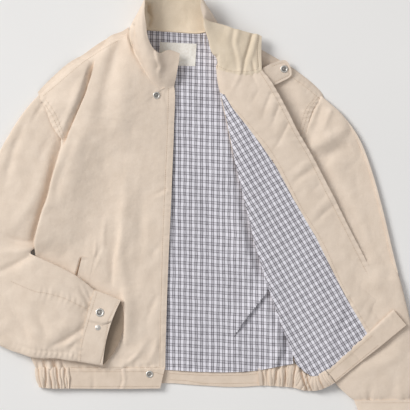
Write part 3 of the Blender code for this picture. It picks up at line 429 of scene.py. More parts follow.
# Folds, in the frame of the tables.
CREASES = {
    # piece: height (below 0 is a trough), width left and right of the path as it runs, whether it starts
    # and ends at full height, and the path
    "closed_front": (
        (-3, 12, 9, 1, 0, ((-178.5, 275.4), (-192.1, 253.3), (-200.6, 232.9))),
        (2, 12, 9, 1, 0, ((-156.4, 282.2), (-175.1, 243.1), (-187, 205.7))),
        (-5.5, 14, 11, 1, 0, ((-137.7, 292.4), (-151.3, 260.1), (-163.2, 221), (-171.7, 178.5),
         (-178.5, 130.9))),
        (2.5, 16, 14, 0, 0, ((-130.9, 277.1), (-136, 221), (-142.8, 161.5), (-158.1, 93.5))),
        (-2.6, 2.5, 4, 1, 0, ((-128.3, 292.4), (-122.4, 270.3), (-119, 249.9))),
        (1.5, 3, 3, 1, 0, ((-122.4, 280.5), (-113.9, 253.3), (-105.4, 236.3))),
        (-1.3, 3, 3, 0, 0, ((-93.5, 212.5), (-79.9, 205.7), (-73.1, 193.8), (-71.4, 183.6))),
        (-0.9, 3, 3, 0, 0, ((-66.3, 198.9), (-67.1, 181.9), (-64.6, 168.3))),
        (-2.6, 9, 9, 0, 0, ((-212.5, 141.1), (-227.8, 102), (-239.7, 66.3), (-249.9, 32.3),
         (-260.1, -1.7))),
        (-7, 40, 34, 0, 0, ((-168.3, 147.9), (-180.2, 51), (-190.4, -8.5), (-202.3, -76.5))),
        (-14, 7, 0.01, 0.3, 0, ARMHOLE_FOLD),
        (12, 44, 5.2, 0, 0, ((-249, 107.1), (-235.6, 136), (-223.7, 159.8), (-214.5, 181.9),
         (-208.4, 202.3), (-204, 222.7), (-197.2, 244.8))),
        (1.8, 0.01, 18, 0.3, 0, ARMHOLE_FOLD),
        (-0.9, 1.3, 1.3, 1, 1, ((-277.1, 189.4), (-253.3, 209.1), (-229.5, 229.5), (-205.7, 248.9),
         (-178.5, 266.9), (-153, 281.5), (-130.9, 292.4))),
        (3.2, 11, 9, 0, 0, ((-132.6, 59.5), (-136, 8.5), (-142.8, -51), (-146.2, -86.7), (-137.7, -127.5),
         (-127.5, -170))),
        (-3.4, 4, 9, 0, 0, ((-146.2, -28.9), (-149.6, -59.5), (-156.4, -96.9), (-158.1, -144.5))),
        (1.4, 4, 5, 0, 0, ((-168.3, -18.7), (-171.7, -45.9), (-173.4, -79.9))),
        (1.1, 2.5, 2.5, 0, 1, ((-184.4, -52.7), (-187, -85))),
        (-1.1, 3, 3, 0, 1, ((-172.5, -64.6), (-185.3, -88.4))),
        (0.8, 3, 3, 1, 0, ((-179.3, -91.8), (-190.4, -113.9))),
        (-2.2, 9, 10, 0, 0, ((-105.4, 28.9), (-108.8, -34), (-112.2, -107.1))),
        (-1.3, 3, 3, 0, 1, ((-91.8, 17), (-79.9, 20.4), (-66.3, 28.1))),
        (1, 4, 3, 0, 1, ((-90.1, 8.5), (-66.3, 18.7))),
        (-0.8, 4, 4, 0, 0, ((-74.8, -64.6), (-93.5, -88.4))),
        (-1.4, 5, 5, 0, 0, ((-78.2, -149.6), (-91.8, -176.8), (-100.3, -200.6))),
        (2.6, 5, 8, 0, 1, ((-95.2, -222.7), (-113.9, -251.6), (-141.1, -275.4))),
        (-1.8, 3, 3, 0, 0, ((-115.6, -249), (-136, -266.1))),
        (1.6, 5, 5, 0, 0, ((-79.9, -226.1), (-86.7, -249.9), (-98.6, -268.6))),
        (-1.1, 4, 4, 0, 0, ((-73.1, -222.7), (-78.2, -251.6))),
        (-1.3, 3, 3, 0, 0, ((-127.5, -277.1), (-102, -274.4), (-76.5, -268.6))),
        (-9, 2.4, 2, 0.8, 1, ((-210.1, -92.6), (-213.9, -106.4), (-220.3, -129.2))),
        (2.4, 4, 4, 0, 1, ((-269.4, -249.9), (-264.2, -280.5))),
        (2.4, 4, 4, 0, 1, ((-251.6, -253.3), (-244.8, -282.2))),
        (-5, 2.6, 2.6, 0, 1, ((-275.4, -256.7), (-272.8, -268.6), (-270.8, -282.2))),
        (-5, 2.6, 2.6, 0, 1, ((-259.8, -256.7), (-255.7, -270.3), (-251.9, -282.2))),
        (-3, 2.4, 2.4, 0, 1, ((-284.8, -263.5), (-282.9, -282.2))),
        (-2.6, 2.4, 2.4, 0, 1, ((-243.1, -263.5), (-238, -282.2))),
        (-0.6, 1.6, 1.6, 1, 1, ((-62.4, 195.5), (-64.6, 127.5), (-69.7, 8.5), (-73.1, -76.5),
         (-75.8, -178.5), (-77.5, -278.8))),
        (6, 16, 5, 0, 0, ((-139.4, -141.1), (-134.3, -181.9), (-134.3, -238))),
    ),
    "closed_side_band": (
        (-6, 2, 2, 1, 1, ((-270.8, -275.4), (-269.6, -292.4), (-271.5, -312.8))),
        (-6, 2, 2, 1, 1, ((-251.9, -275.4), (-250.9, -292.4), (-247.2, -312.8))),
        (-4.5, 1.8, 1.8, 1, 1, ((-282.9, -275.4), (-280.5, -292.4), (-277.1, -312.8))),
        (-4, 1.6, 1.6, 0, 1, ((-265.9, -280.5), (-261.8, -297.5), (-259.8, -312.8))),
        (-3.6, 1.6, 1.6, 1, 1, ((-238, -277.1), (-239, -294.1), (-236.3, -312.8))),
        (4, 14, 14, 1, 0.2, ((-287.3, -292.4), (-260.1, -295.8), (-229.5, -297.5))),
    ),
    "collar": (
        (-9, 3, 3, 0, 0, ((-91.8, 343.4), (-95.2, 328.1), (-92.6, 316.2), (-96.9, 300.9))),
        (-3, 2, 3, 0, 0, ((-121.5, 307.7), (-119.8, 287.3), (-115.6, 263.5))),
        (1.6, 3, 3, 0, 0, ((-130.9, 280.5), (-125.8, 263.5), (-117.3, 246.5))),
        (-1.5, 4, 5, 1, 1, ((48.4, 294.1), (46.9, 273.7), (51, 256.7), (56.1, 232.9))),
        (1.3, 4, 4, 1, 1, ((55.2, 294.1), (52, 273), (56.4, 254.2), (60.5, 226.1))),
        (-2.8, 3.4, 3.4, 1, 1, ((79.9, 287.3), (73.3, 263.5), (68.5, 247.9), (63.9, 224.4))),
        (1.7, 4, 4, 1, 0, ((87.2, 287.3), (80.4, 260.4), (74.1, 236.3))),
        (-1.6, 3, 3, 0, 1, ((77.3, 251.6), (84.7, 226.1))),
        (-0.5, 1.5, 1.5, 1, 1, ((91.1, 287.3), (89.4, 260.1), (91.1, 231.2))),
        (-3, 3, 3, 1, 0, ((-99.3, 340), (-93.5, 328.1), (-94.2, 314.5), (-96.9, 302.6))),
        (-1.6, 4, 4, 1, 0, ((-71.4, 348.5), (-74.8, 324.7), (-71.4, 302.6))),
        (3, 7, 2, 0.4, 0, ((-84.1, 258.4), (-80.9, 246.5), (-76.8, 236.3), (-79.2, 226.1),
         (-77.2, 215.9))),
        (-1, 4, 4, 0, 1, ((-32.3, 345.1), (-28.9, 324.7), (-30.6, 300.9))),
        (-3, 2, 2.6, 1, 0, ((-121, 304.3), (-121.7, 283.9), (-119.7, 266.9))),
        (2, 2.6, 2.6, 1, 0, ((-125.8, 302.6), (-125.8, 283.9), (-121.7, 263.5))),
        (-1.6, 3, 3, 1, 0, ((-109.1, 334.9), (-109.8, 307.7), (-107.1, 280.5))),
    ),
    "opened_side_band": (
        (5, 15, 15, 0.2, 0.4, ((83.3, -294.1), (119, -290.7), (149.6, -292.4), (178.5, -302.6),
         (219.3, -292.4))),
        (-5.5, 2.1, 2.1, 1, 1, ((96.2, -275.4), (99.3, -290.7), (101.1, -311.1))),
        (-7.5, 2.4, 2.4, 1, 1, ((106.2, -270.3), (105.1, -289), (108, -311.1))),
        (-7.5, 2.4, 2.4, 1, 1, ((124.8, -270.3), (121, -289), (119.7, -311.1))),
        (-7.5, 2.4, 2.4, 1, 1, ((136.5, -270.3), (137, -290.7), (134.8, -312.8))),
        (-5.5, 2.1, 2.1, 1, 1, ((154.7, -270.3), (151.3, -290.7), (149.6, -312.8))),
        (-7.5, 2.4, 2.4, 1, 1, ((163.2, -282.2), (168.3, -299.2), (175.9, -319.6))),
        (-5.5, 2.1, 2.1, 1, 1, ((173.4, -289), (176.8, -302.6), (183.6, -319.6))),
        (-3, 1.8, 1.8, 1, 1, ((192.1, -287.3), (197.2, -300.9), (204, -314.5))),
    ),
    "opened_front_facing": (
        (1.5, 2.8, 2.8, 1, 0, ((59.5, 222.7), (54.4, 210.8), (38.2, 178.5))),
        (-1.2, 2.8, 2.8, 1, 0, ((79.6, 221), (85.8, 206.9), (91, 193.8))),
        (-1.2, 2.8, 2.8, 0, 0, ((91.8, 195.5), (78.2, 171.7))),
        (-1.5, 2.8, 2.8, 0.4, 0, ((112.2, 190.4), (101.7, 162.9), (96.9, 142.8))),
        (1.1, 5, 5, 0.4, 0, ((119, 180.2), (108.8, 149.6))),
        (-1.3, 2.8, 2.8, 0.4, 0, ((125.8, 168.3), (117.3, 146.2), (112.2, 130.9))),
        (1, 5, 5, 0.4, 0, ((132.6, 146.2), (117.3, 113.9))),
        (-1.5, 2.8, 2.8, 0.4, 0, ((141.1, 137.7), (125.8, 107.1), (112.2, 90.1))),
        (1.2, 6, 6, 0.4, 0, ((176.8, 73.1), (146.2, 47.6))),
        (-1.7, 4, 5, 0.4, 0, ((185.3, 61.2), (156.4, 42.5), (146.2, 25.5))),
        (-0.7, 3, 3, 0.4, 0, ((197.2, 34), (176.8, 22.1))),
        (-0.7, 3, 3, 0.4, 0, ((209.1, 18.7), (192.1, 8.5))),
        (1, 6, 6, 0.4, 0, ((212.5, 10.2), (181.9, -15.3))),
        (-1.7, 4, 5, 0.4, 0, ((217.6, -2.5), (195.5, -20.4), (180.2, -35.7))),
        (-0.8, 5, 5, 0.4, 0, ((289, -171.7), (273.7, -200.6))),
        (-0.7, 6, 6, 0, 0, ((249.9, -96.9), (231.2, -110.5))),
        (-10, 6, 70, 0.3, 0.5, ((207.4, 62.9), (261.8, -35.7), (292.4, -93.5), (336.6, -173.4))),
        (-1.6, 3, 4, 0, 1, ((249.9, -154.7), (244.8, -171.7), (240.5, -181.9))),
    ),
    "opened_front": (
        (-1.4, 7, 7, 0, 0, ((139.4, 198.9), (156.4, 164.9), (163.2, 127.5))),
        (1.2, 7, 7, 0, 0, ((154.7, 205.7), (171.7, 171.7))),
    ),
    "far_sleeve": (
        (5, 11, 9, 1, 0, ((183.6, 98.6), (212.5, 112.2), (243.1, 129.2))),
        (-5.5, 9, 14, 1, 0, ((188.7, 74.8), (215.9, 88.4), (246.5, 103.7))),
        (2.2, 5, 5, 1, 0, ((212.5, 158.1), (205.7, 141.1), (195.5, 117.3))),
        (-1.8, 5, 5, 1, 0, ((197.2, 164.9), (188.7, 137.7), (180.2, 113.9))),
        (-6, 11, 8, 0, 0, ((161.5, 130.9), (183.6, 93.5), (207.4, 51), (229.5, 8.5), (253.3, -42.5),
         (280.5, -96.9))),
        (-9, 30, 75, 0, 0, ((263.5, 136), (287.3, 62.9), (304.3, -17), (321.3, -127.5))),
        (-2, 8, 8, 0, 0, ((238, 178.5), (249.9, 147.9), (246.5, 110.5))),
        (-2.2, 12, 12, 0, 0, ((283.9, 0), (304.3, -76.5), (324.7, -161.5))),
        (2, 10, 10, 0, 0, ((256.7, -283.9), (294.1, -273.7), (338.3, -249.9))),
        (-2.6, 8, 8, 0, 0, ((249.9, -249.9), (283.9, -246.5), (328.1, -222.7))),
        (-2, 4, 5, 0, 1, ((283.9, -294.1), (280.5, -329.8))),
        (-2, 4, 5, 0, 1, ((324.7, -283.9), (317.9, -329.8))),
        (-1.8, 4, 5, 0, 1, ((355.3, -290.7), (355.3, -329.8))),
    ),
    "opened_front_lining": (
        (-1.6, 3, 4, 0, 0, ((256.7, -192.1), (246.5, -205.7), (231.2, -215.9))),
        (-1.2, 3, 3, 0, 0, ((234.6, -192.1), (226.1, -202.3), (222.7, -219.3))),
        (-1.2, 3, 3, 0, 1, ((249.9, -212.5), (243.1, -226.1), (244.8, -241.4))),
        (1.2, 4, 4, 0, 1, ((219.3, -219.3), (212.5, -239.7), (210.8, -270.3))),
        (-2, 5, 5, 0, 0, ((244.8, -178.5), (231.2, -215.9), (222.7, -239.7))),
        (1.5, 6, 6, 0, 0, ((234.6, -171.7), (219.3, -215.9))),
        (-1, 8, 8, 0, 0, ((96.9, 42.5), (130.9, -42.5), (161.5, -144.5))),
    ),
    "near_sleeve": (
        (-11, 5, 10, 0.6, 0.4, ((-241.4, 100.3), (-248.2, 79.9), (-257.6, 45.9), (-265.2, 11.9),
         (-276.2, -20.4), (-285.6, -52.7))),
        (-2.2, 4, 4, 1, 0, ((-274.6, 173.4), (-287.3, 153), (-299.2, 130.9))),
        (-2.2, 5, 5, 0, 0, ((-258.4, 124.1), (-273.7, 93.5), (-283.9, 56.1))),
        (-3, 7, 7, 0, 0, ((-297.5, 158.1), (-324.7, 93.5), (-341.7, 25.5))),
        (2.5, 9, 9, 0, 0, ((-273.7, 59.5), (-297.5, 0), (-334.9, -52.7))),
        (-4, 7, 6, 1, 0, ((-283.9, -64.6), (-324.7, -59.5), (-368.9, -39.1))),
        (2.6, 7, 7, 1, 0, ((-287.3, -73.1), (-334.9, -79.9), (-382.5, -76.5))),
        (-4, 6, 6, 1, 0, ((-290.7, -81.6), (-328.1, -103.7), (-365.5, -120.7))),
        (-2.6, 8, 8, 0, 0, ((-385.9, 8.5), (-396.1, -59.5), (-389.3, -136))),
        (-2.6, 6, 6, 0, 0, ((-341.7, -161.5), (-311.1, -198.9), (-297.5, -236.3))),
        (-3, 7, 7, 0, 0, ((-290.7, -166.6), (-277.1, -198.9), (-266.9, -227.8))),
        (2.6, 12, 12, 0, 0, ((-202.3, -192.1), (-229.5, -207.4), (-263.5, -214.2))),
        (-3.6, 5, 5, 0.3, 0, ((-205.7, -207.4), (-226.8, -224.1), (-245.7, -233.4), (-266.9, -241.4))),
        (2, 4, 4, 0, 0, ((-217.6, -224.4), (-239.7, -239.7))),
        (-1.6, 4, 4, 0, 0, ((-219.3, -234.6), (-231.2, -249.9))),
        (-1.8, 3, 4, 0, 1, ((-214.2, -136), (-205.7, -151.3), (-195.5, -168.3))),
        (-1.5, 3, 3, 0, 1, ((-204, -134.3), (-192.1, -161.5))),
        (1.6, 4, 4, 0, 1, ((-221, -144.5), (-202.3, -171.7))),
        (1.6, 7, 7, 0, 0, ((-283.9, -113.9), (-253.3, -130.9), (-229.5, -154.7))),
        (-0.9, 2, 2, 1, 1, ((-331.5, -134.3), (-289.3, -150.3), (-269.8, -153.5), (-240.5, -161.7),
         (-219.5, -171.4), (-197.2, -181.9))),
        (-0.8, 2, 2, 1, 1, ((-314.5, -238), (-288.1, -246), (-255, -248.2), (-214.2, -252.4))),
    ),
    "near_cuff": (
        (2.6, 16, 1.2, 1, 1, ((-185.3, -198), (-173.4, -200.6), (-156.4, -195.2))),
        (-0.5, 1.3, 1.3, 1, 1, ((-147, -162.3), (-163.2, -194.7))),
        (-0.5, 1.3, 1.3, 1, 1, ((-163.5, -195.5), (-171.7, -246.5), (-177.7, -268.6))),
    ),
    "back_lining": (
        (7, 2.6, 17, 1, 0, ((110.5, -139.4), (86.7, -171.7), (64.6, -198.9), (45.9, -226.1))),
        (6, 9, 30, 0, 0, ((25.5, 164.9), (35.7, 110.5), (44.2, 51), (52.7, 0))),
        (7, 8, 24, 0, 0, ((47.6, 25.5), (59.5, -34), (74.8, -90.1), (96.9, -147.9))),
        (5, 7, 14, 0, 0, ((100.3, -154.7), (110.5, -192.1), (120.7, -238))),
        (4, 10, 3, 0, 0, ((117.3, -164.9), (124.1, -198.9), (117.3, -243.1))),
        (6, 4, 9, 0, 0.6, ((129.2, -209.1), (129.2, -239.7), (122.4, -266.9))),
        (1.2, 8, 8, 0, 0, ((-25.5, 246.5), (-15.3, 161.5), (1.7, 93.5))),
        (3.4, 5, 14, 1, 1, ((-113.9, 294.1), (-51, 291.7), (17, 288.1))),
        (-2, 2, 2, 0, 0, ((-5.1, 290.7), (-3.4, 278.8), (-6.8, 265.2))),
        (-1.8, 2, 2, 0, 0, ((1.7, 292.4), (1.7, 277.1), (5.1, 260.1))),
        (1.5, 2, 2, 0, 0, ((-1.7, 290.7), (-0.7, 270.3))),
        (-3, 4, 4, 0, 0, ((139.4, -219.3), (138.5, -239.7), (134.3, -258.4))),
        (-0.9, 7, 7, 0, 0, ((-39.1, 93.5), (-28.9, -17), (-25.5, -127.5))),
        (1, 9, 9, 0, 0, ((15.3, 42.5), (28.9, -59.5), (35.7, -161.5))),
        (-0.9, 7, 7, 0, 1, ((1.7, -161.5), (-1.7, -277.1))),
    ),
    "closed_front_band": (
        (-0.8, 2, 2, 1, 1, ((-143.1, -278.8), (-140.8, -297.5), (-145.2, -311.1))),
        (1, 3, 3, 1, 1, ((-138.4, -278.8), (-136, -297.5), (-140.1, -311.1))),
        (-0.9, 4, 4, 0, 1, ((-187.5, -280.5), (-190.4, -311.1))),
    ),
    "opened_front_band": ((-0.8, 3, 3, 1, 1, ((248.2, -247.3), (265.2, -265.2))),),
    "neck_tab": ((-0.5, 1.4, 1.4, 1, 1, TAB_EDGE),),
}
PUCKERS = {
    # piece: height, reach, pitch, slant, seed, and the sewn line that they cross
    "closed_front": (
        (0.55, 9, 10, 0.5, 3, NEAR_ARMHOLE),
        (0.45, 9, 10, 0, 5, ((-51, 202.3), (-54.4, 127.5), (-58.8, 8.5), (-63.1, -76.5), (-65.8, -178.5),
         (-67.5, -278.8))),
        (0.7, 10, 13, 0, 7, FRONT_HEM),
        (1.6, 18, 13, 0.2, 9, ((-287.3, -278.8), (-229.5, -278.8))),
        (0.6, 8, 9, 0.3, 11, ((-185.3, 275.4), (-236.3, 236.3), (-278.8, 195.5))),
    ),
    "opened_front": (
        (1, 11, 9, -0.4, 13, ((197.2, 181.9), (181.9, 159.8), (173.4, 130.9), (163.2, 93.5))),
        (0.6, 8, 9, 0, 15, ((96.9, 249.9), (149.6, 217.6), (195.5, 183.6))),
    ),
    "opened_front_facing": (
        (0.9, 13, 12, 0.6, 17, ((100.3, 236.3), (113.9, 209.1), (132.6, 180.2), (161.5, 124.1),
         (185.3, 86.7), (217.6, 22.1), (251.6, -42.5), (278.8, -98.6), (319.6, -178.5))),
    ),
    "opened_front_lining": (
        (0.5, 9, 10, 0, 19, ((28.9, 181.9), (76, 127.5), (113.9, 78.2), (157.4, -4.4), (196.5, -68),
         (227.5, -136), (277.1, -221))),
        (0.7, 10, 10, 0, 21, ((159.8, -273.7), (183.6, -289), (209.1, -277.1), (246.5, -243.1),
         (277.1, -221))),
    ),
    "near_sleeve": (
        (0.7, 8, 10, 0.4, 23, ((-289.3, -146.2), (-269.8, -149.6), (-240.5, -157.4), (-219.5, -166.6),
         (-198.9, -176.8))),
        (0.8, 7, 9, 0.3, 25, ((-331.5, -236.3), (-288.1, -248.2), (-214.2, -255))),
        (1, 12, 10, 0.3, 27, NEAR_CUFF_SEAM),
        (1, 11, 10, 0.5, 29, NEAR_ARMHOLE),
    ),
    "far_sleeve": (
        (1, 11, 10, 0.5, 31, ((200.6, 181.9), (185.3, 159.8), (176.8, 130.9), (166.6, 93.5))),
        (1.2, 14, 12, 0.2, 33, ((261.8, -329.8), (379.1, -329.8))),
    ),
    "near_cuff": ((0.5, 8, 11, 0, 35, NEAR_CUFF_SEAM),),
    "back_lining": (
        (1.2, 12, 11, 0, 37, ((90.1, -278.8), (119, -272), (153, -265.2))),
        (0.5, 8, 13, 0, 39, ((-81.6, -277.1), (34, -281.3), (90.1, -278.8))),
    ),
    "back_band": ((0.4, 8, 15, 0, 43, ((-62.9, -277.1), (34, -282.2), (93.5, -278.8))),),
    "closed_front_band": ((0.5, 7, 15, 0, 45, FRONT_HEM),),
    "opened_front_band": ((0.5, 8, 12, 0, 47, ((207.4, -282.2), (277.1, -221), (321.3, -180.2))),),
    "collar": ((0.5, 7, 10, 0, 49, ((21.2, 232.9), (41.6, 224.4), (68, 222.7), (96.9, 230.3))),),
}
GATHERS = {
    # piece: height, pitch, lean, seed, and the middle of the elastic
    "closed_side_band": ((2.8, 6.5, 0.12, 4, ((-227.8, -294.1), (-285.6, -294.1))),),
    "opened_side_band": (
        (1.6, 6, 0, 8, ((91.8, -292.4), (119, -290.7), (149.6, -290.7), (170, -300.9), (192.1, -304.3),
         (215.9, -292.4))),
    ),
}
STITCHES = {
    # piece that carries the lines: their paths
    "closed_front": (
        ((-61.9, 197.2), (-63.9, 127.5), (-69, 8.5), (-72.4, -76.5), (-75.1, -178.5), (-76.8, -275.4)),
        ((-270.3, 169.2), (-259.1, 151.3), (-249.9, 130.9), (-242.2, 112.2)),
        ((-268.6, 176.8), (-255, 156.4), (-245.5, 134.3), (-238, 115.6)),
        ((-273.7, 186), (-249.9, 205.7), (-226.1, 226.1), (-202.3, 245.5), (-175.1, 263.5),
         (-149.6, 278.1)),
        ((-226.1, -275.7), (-144.5, -275.7), (-79.9, -275.4)),
    ),
    "closed_front_band": (
        ((-226.1, -282.9), (-147.9, -282.9), (-93.5, -283.2), (-72.1, -287.6)),
        ((-226.1, -307.7), (-147.9, -308.2), (-79.9, -307.7)),
    ),
    "opened_front": (
        ((192.1, 182.8), (176.8, 161.5), (168.3, 134.3), (160.7, 110.5)),
        ((188.7, 185.3), (171.7, 163.2), (163.2, 137.7), (156.4, 117.3)),
        ((149.6, 215.9), (171.7, 199.8), (193.8, 181)),
    ),
    "opened_front_facing": (
        ((93.5, 224.4), (108, 202.3), (125.8, 171.7), (151.3, 122.4), (175.1, 81.6), (205.7, 20.4),
         (238, -42.5), (265.2, -96.9), (307.7, -176.8)),
        ((35.7, 180.2), (80.8, 130), (119, 80.8), (162.3, -1.7), (201.1, -65.5), (232.4, -134),
         (279.6, -215)),
    ),
    "collar": (
        ((24.6, 234.6), (41.6, 227.8), (68, 226.4), (86.7, 229.5)),
        ((89.6, 282.2), (88.1, 260.1), (89.8, 235.4)),
    ),
    "near_cuff": (
        ((-146.5, -164), (-162.9, -194.1)),
        ((-163.9, -198), (-169.3, -232.9), (-177.5, -266.1)),
        ((-183.6, -149.3), (-194.5, -185.3), (-208.4, -234.6), (-211.5, -263.5)),
    ),
    "near_sleeve": (
        ((-328.1, -130), (-289.3, -146), (-269.8, -149.3), (-240.5, -157.4), (-219.5, -167.1),
         (-202.3, -175.1)),
    ),
    "neck_tab": (TAB_EDGE,),
    "opened_front_band": (
        ((211.8, -283.9), (246.5, -254), (282.2, -222.7)),
        ((222.7, -296.5), (260.1, -265.2), (292.4, -238.8)),
    ),
    "back_band": (
        ((-59.5, -286.3), (-8.5, -289), (59.5, -289.3), (86.7, -287)),
        ((-59.5, -296.8), (-30.6, -298.5), (3.4, -303.3), (88.4, -302.3)),
    ),
    "far_cuff": (
        ((265.2, -335.9), (379.1, -335.6)),
        ((272, -373), (379.1, -373)),
    ),
}
TUCKS = {
    # piece: how far the cloth slides past the line, how far off it still moves, and the line
    "closed_front": ((1.8, 9, ARMHOLE_FOLD[:-1]),),
    "back_lining": ((1.2, 7, ((110.5, -139.4), (89.4, -168.3), (67.3, -195.5), (44.2, -231.2))),),
}
TACK = (
    # the short bar of brown thread at the inner pocket
    ((114.2, 75.5), (117, 65.6)),
    ((115.1, 75.8), (117.8, 66)),
)
CRUMPLES = {
    # piece: height, size across and along, turn of its long way in degrees, and seed
    "closed_front": (
        (1.1, 30, 70, 4, 1),
        (0.5, 13, 24, 30, 2),
    ),
    "opened_front": ((0.8, 26, 50, 30, 3),),
    "opened_front_facing": (
        (0.7, 20, 34, -30, 4),
        (0.35, 9, 15, 20, 5),
    ),
    "near_sleeve": (
        (1.3, 30, 55, 10, 6),
        (0.6, 13, 24, 50, 7),
    ),
    "far_sleeve": (
        (1.3, 34, 60, -25, 8),
        (0.6, 14, 24, 20, 9),
    ),
    "near_cuff": ((0.3, 14, 20, 0, 10),),
    "collar": ((0.5, 12, 20, 10, 11),),
    "back_lining": (
        (1.2, 20, 60, 3, 12),
        (0.6, 10, 18, 30, 13),
    ),
    "closed_front_band": ((0.35, 14, 14, 0, 14),),
    "back_band": ((0.3, 14, 14, 0, 15),),
    "opened_front_band": ((0.35, 12, 14, 0, 16),),
}


# Shapes.


def weights(count, places):
    """Share of each of count control values in a smooth curve through them, at places up to count - 1."""
    places = np.clip(np.asarray(places, float), 0, count - 1)
    low = np.minimum(places.astype(int), count - 2)
    t = places - low
    found = np.zeros((len(places), count + 2))
    here = np.arange(len(places))
    found[here, low] += -0.5 * t + t**2 - 0.5 * t**3
    found[here, low + 1] += 1 - 2.5 * t**2 + 1.5 * t**3
    found[here, low + 2] += 0.5 * t + 2 * t**2 - 1.5 * t**3
    found[here, low + 3] += -0.5 * t**2 + 0.5 * t**3
    found[:, 1] += 2 * found[:, 0]
    found[:, 2] -= found[:, 0]
    found[:, -2] += 2 * found[:, -1]
    found[:, -3] -= found[:, -1]
    return found[:, 1:-1]


def patch(grid, down, across):
    """Points of the smooth surface through a grid of control points."""
    grid = np.asarray(grid, float)
    rows = weights(grid.shape[0], down)
    columns = weights(grid.shape[1], across)
    return np.einsum("ir,jc,rck->ijk", rows, columns, grid)


def normals(points, ring=False):
    """The directions that a grid's surface faces. The grid of a ring closes on itself."""
    down = np.gradient(points, axis=0)
    if ring:
        across = np.roll(points, -1, axis=1) - np.roll(points, 1, axis=1)
    else:
        across = np.gradient(points, axis=1)
    found = np.cross(down, across)
    return found / np.maximum(np.linalg.norm(found, axis=2, keepdims=True), 1e-9)


def front_grid():
    """Control points of the closed front: turned under, round its outer edge, across to the front edge."""
    grid = []
    for left, right, tuck, roll, bow, heights in FRONT_ROWS:
        left = np.array(left)
        right = np.array(right)
        inward = (right - left) / np.linalg.norm(right - left)
        up = np.array((-inward[1], inward[0]))
        top = heights[0]
        row = [
            (*(left + inward * (roll + tuck)), top - 2 * roll),
            (*(left + inward * roll), top - 2 * roll),
            (*left, top - roll),
            (*(left + inward * roll), top),
        ]
        for share, height in zip(FRONT_SHARES, heights[1:]):
            row.append((*(left + (right - left) * share + up * bow * 4 * share * (1 - share)), height))
        grid.append(row)
    return np.array(grid)


def tube(rows, steps, around, turn):
    """A flattened sleeve: each row gives its two edges in plan, and how high and thick it lies."""
    table = np.array([(*a, *b, *rest) for a, b, *rest in rows])
    table = weights(len(table), np.linspace(0, len(table) - 1, steps)) @ table
    angles = np.arange(around) * 2 * np.pi / around
    cosine = np.cos(angles)
    sine = np.sin(angles)
    share = (1 - np.sign(cosine) * np.abs(cosine) ** TUBE_POWER) / 2
    lift = (1 + np.sign(sine) * np.abs(sine) ** TUBE_POWER) / 2
    rings = []
    for ax, ay, bx, by, low_a, low_b, thick, top_bow, low_bow in table:
        side = np.array((bx - ax, by - ay))
        ahead = turn * np.array((-side[1], side[0])) / np.linalg.norm(side)
        bow = np.where(sine > 0, top_bow, low_bow) * 4 * share * (1 - share)
        plan = np.array((ax, ay)) + share[:, None] * side + bow[:, None] * ahead
        height = low_a + (low_b - low_a) * share + thick * lift
        rings.append(np.column_stack((plan, height)))
    return np.array(rings)


def strip(rows, steps, across):
    """A band through rows of an upper and a lower edge point."""
    grid = np.array([[(*p,) for p in row] for row in rows], float)
    return patch(grid, np.linspace(0, len(grid) - 1, steps), np.linspace(0, 1, across))


def back_band_rows():
    """Upper and lower edge of the waistband below the hem of the back."""
    places = np.linspace(BACK_BAND_DEPTHS[0][0], BACK_BAND_DEPTHS[-1][0], 12)
    hem = np.interp(places, *np.array(HEM_LINE).T) - HEM_GAP
    depth = np.interp(places, *np.array(BACK_BAND_DEPTHS).T)
    return [((x, y, RIB / 2), (x, y - d, RIB / 2)) for x, y, d in zip(places, hem, depth)]


# Folds, ripples and gathers, as heights over the plan.


def smooth_path(points):
    """A smooth path through a few plan points."""
    points = np.array(points, float)[:, :2]
    steps = 2 if len(points) == 2 else 6 * (len(points) - 1) + 1
    return weights(len(points), np.linspace(0, len(points) - 1, steps)) @ points


def beside(path, plan):
    """Signed distance from the path, distance along it, and its length, for each plan point."""
    step = np.diff(path, axis=0)
    length = np.linalg.norm(step, axis=1)
    before = np.concatenate(((0,), np.cumsum(length)))
    away = plan[:, None] - path[None, :-1]
    share = np.clip((away * step).sum(axis=2) / length**2, 0, 1)
    off = away - share[..., None] * step
    distance = np.hypot(off[..., 0], off[..., 1])
    nearest = distance.argmin(axis=1)
    pick = (np.arange(len(plan)), nearest)
    side = np.sign(step[nearest, 0] * off[pick][:, 1] - step[nearest, 1] * off[pick][:, 0])
    return side * distance[pick], before[nearest] + share[pick] * length[nearest], before[-1]


def near(path, plan, reach):
    """Which plan points lie in the path's box, widened by reach."""
    low = path.min(axis=0) - reach
    high = path.max(axis=0) + reach
    return ((plan > low) & (plan < high)).all(axis=1)


def crease(plan, depth, left, right, start, end, points):
    """One soft fold. Start and end are 0 where it dies away and 1 where it runs into a seam."""
    path = smooth_path(points)
    height = np.zeros(len(plan))
    here = near(path, plan, FOLD_END * max(left, right))
    across, along, whole = beside(path, plan[here])
    width = np.where(across > 0, left, right)
    phase = 0.5 * start + (1 - 0.5 * end - 0.5 * start) * np.clip(along / whole, 0, 1)
    fade = np.clip(np.sin(np.pi * phase), 0, 1) ** 0.7
    height[here] = depth * fade * np.exp(-((across / width) ** 2))
    return height


def wave(place, seed):
    """A smooth wave of uneven height, one half of it for each whole number of place."""
    count, first = 600, 40
    knots = np.random.default_rng(seed).uniform(0.25, 1, count) * (-1) ** np.arange(count)
    place = np.clip(place + first, 0, count - 2)
    low = place.astype(int)
    t = place - low
    t = t * t * (3 - 2 * t)
    return knots[low] * (1 - t) + knots[low + 1] * t


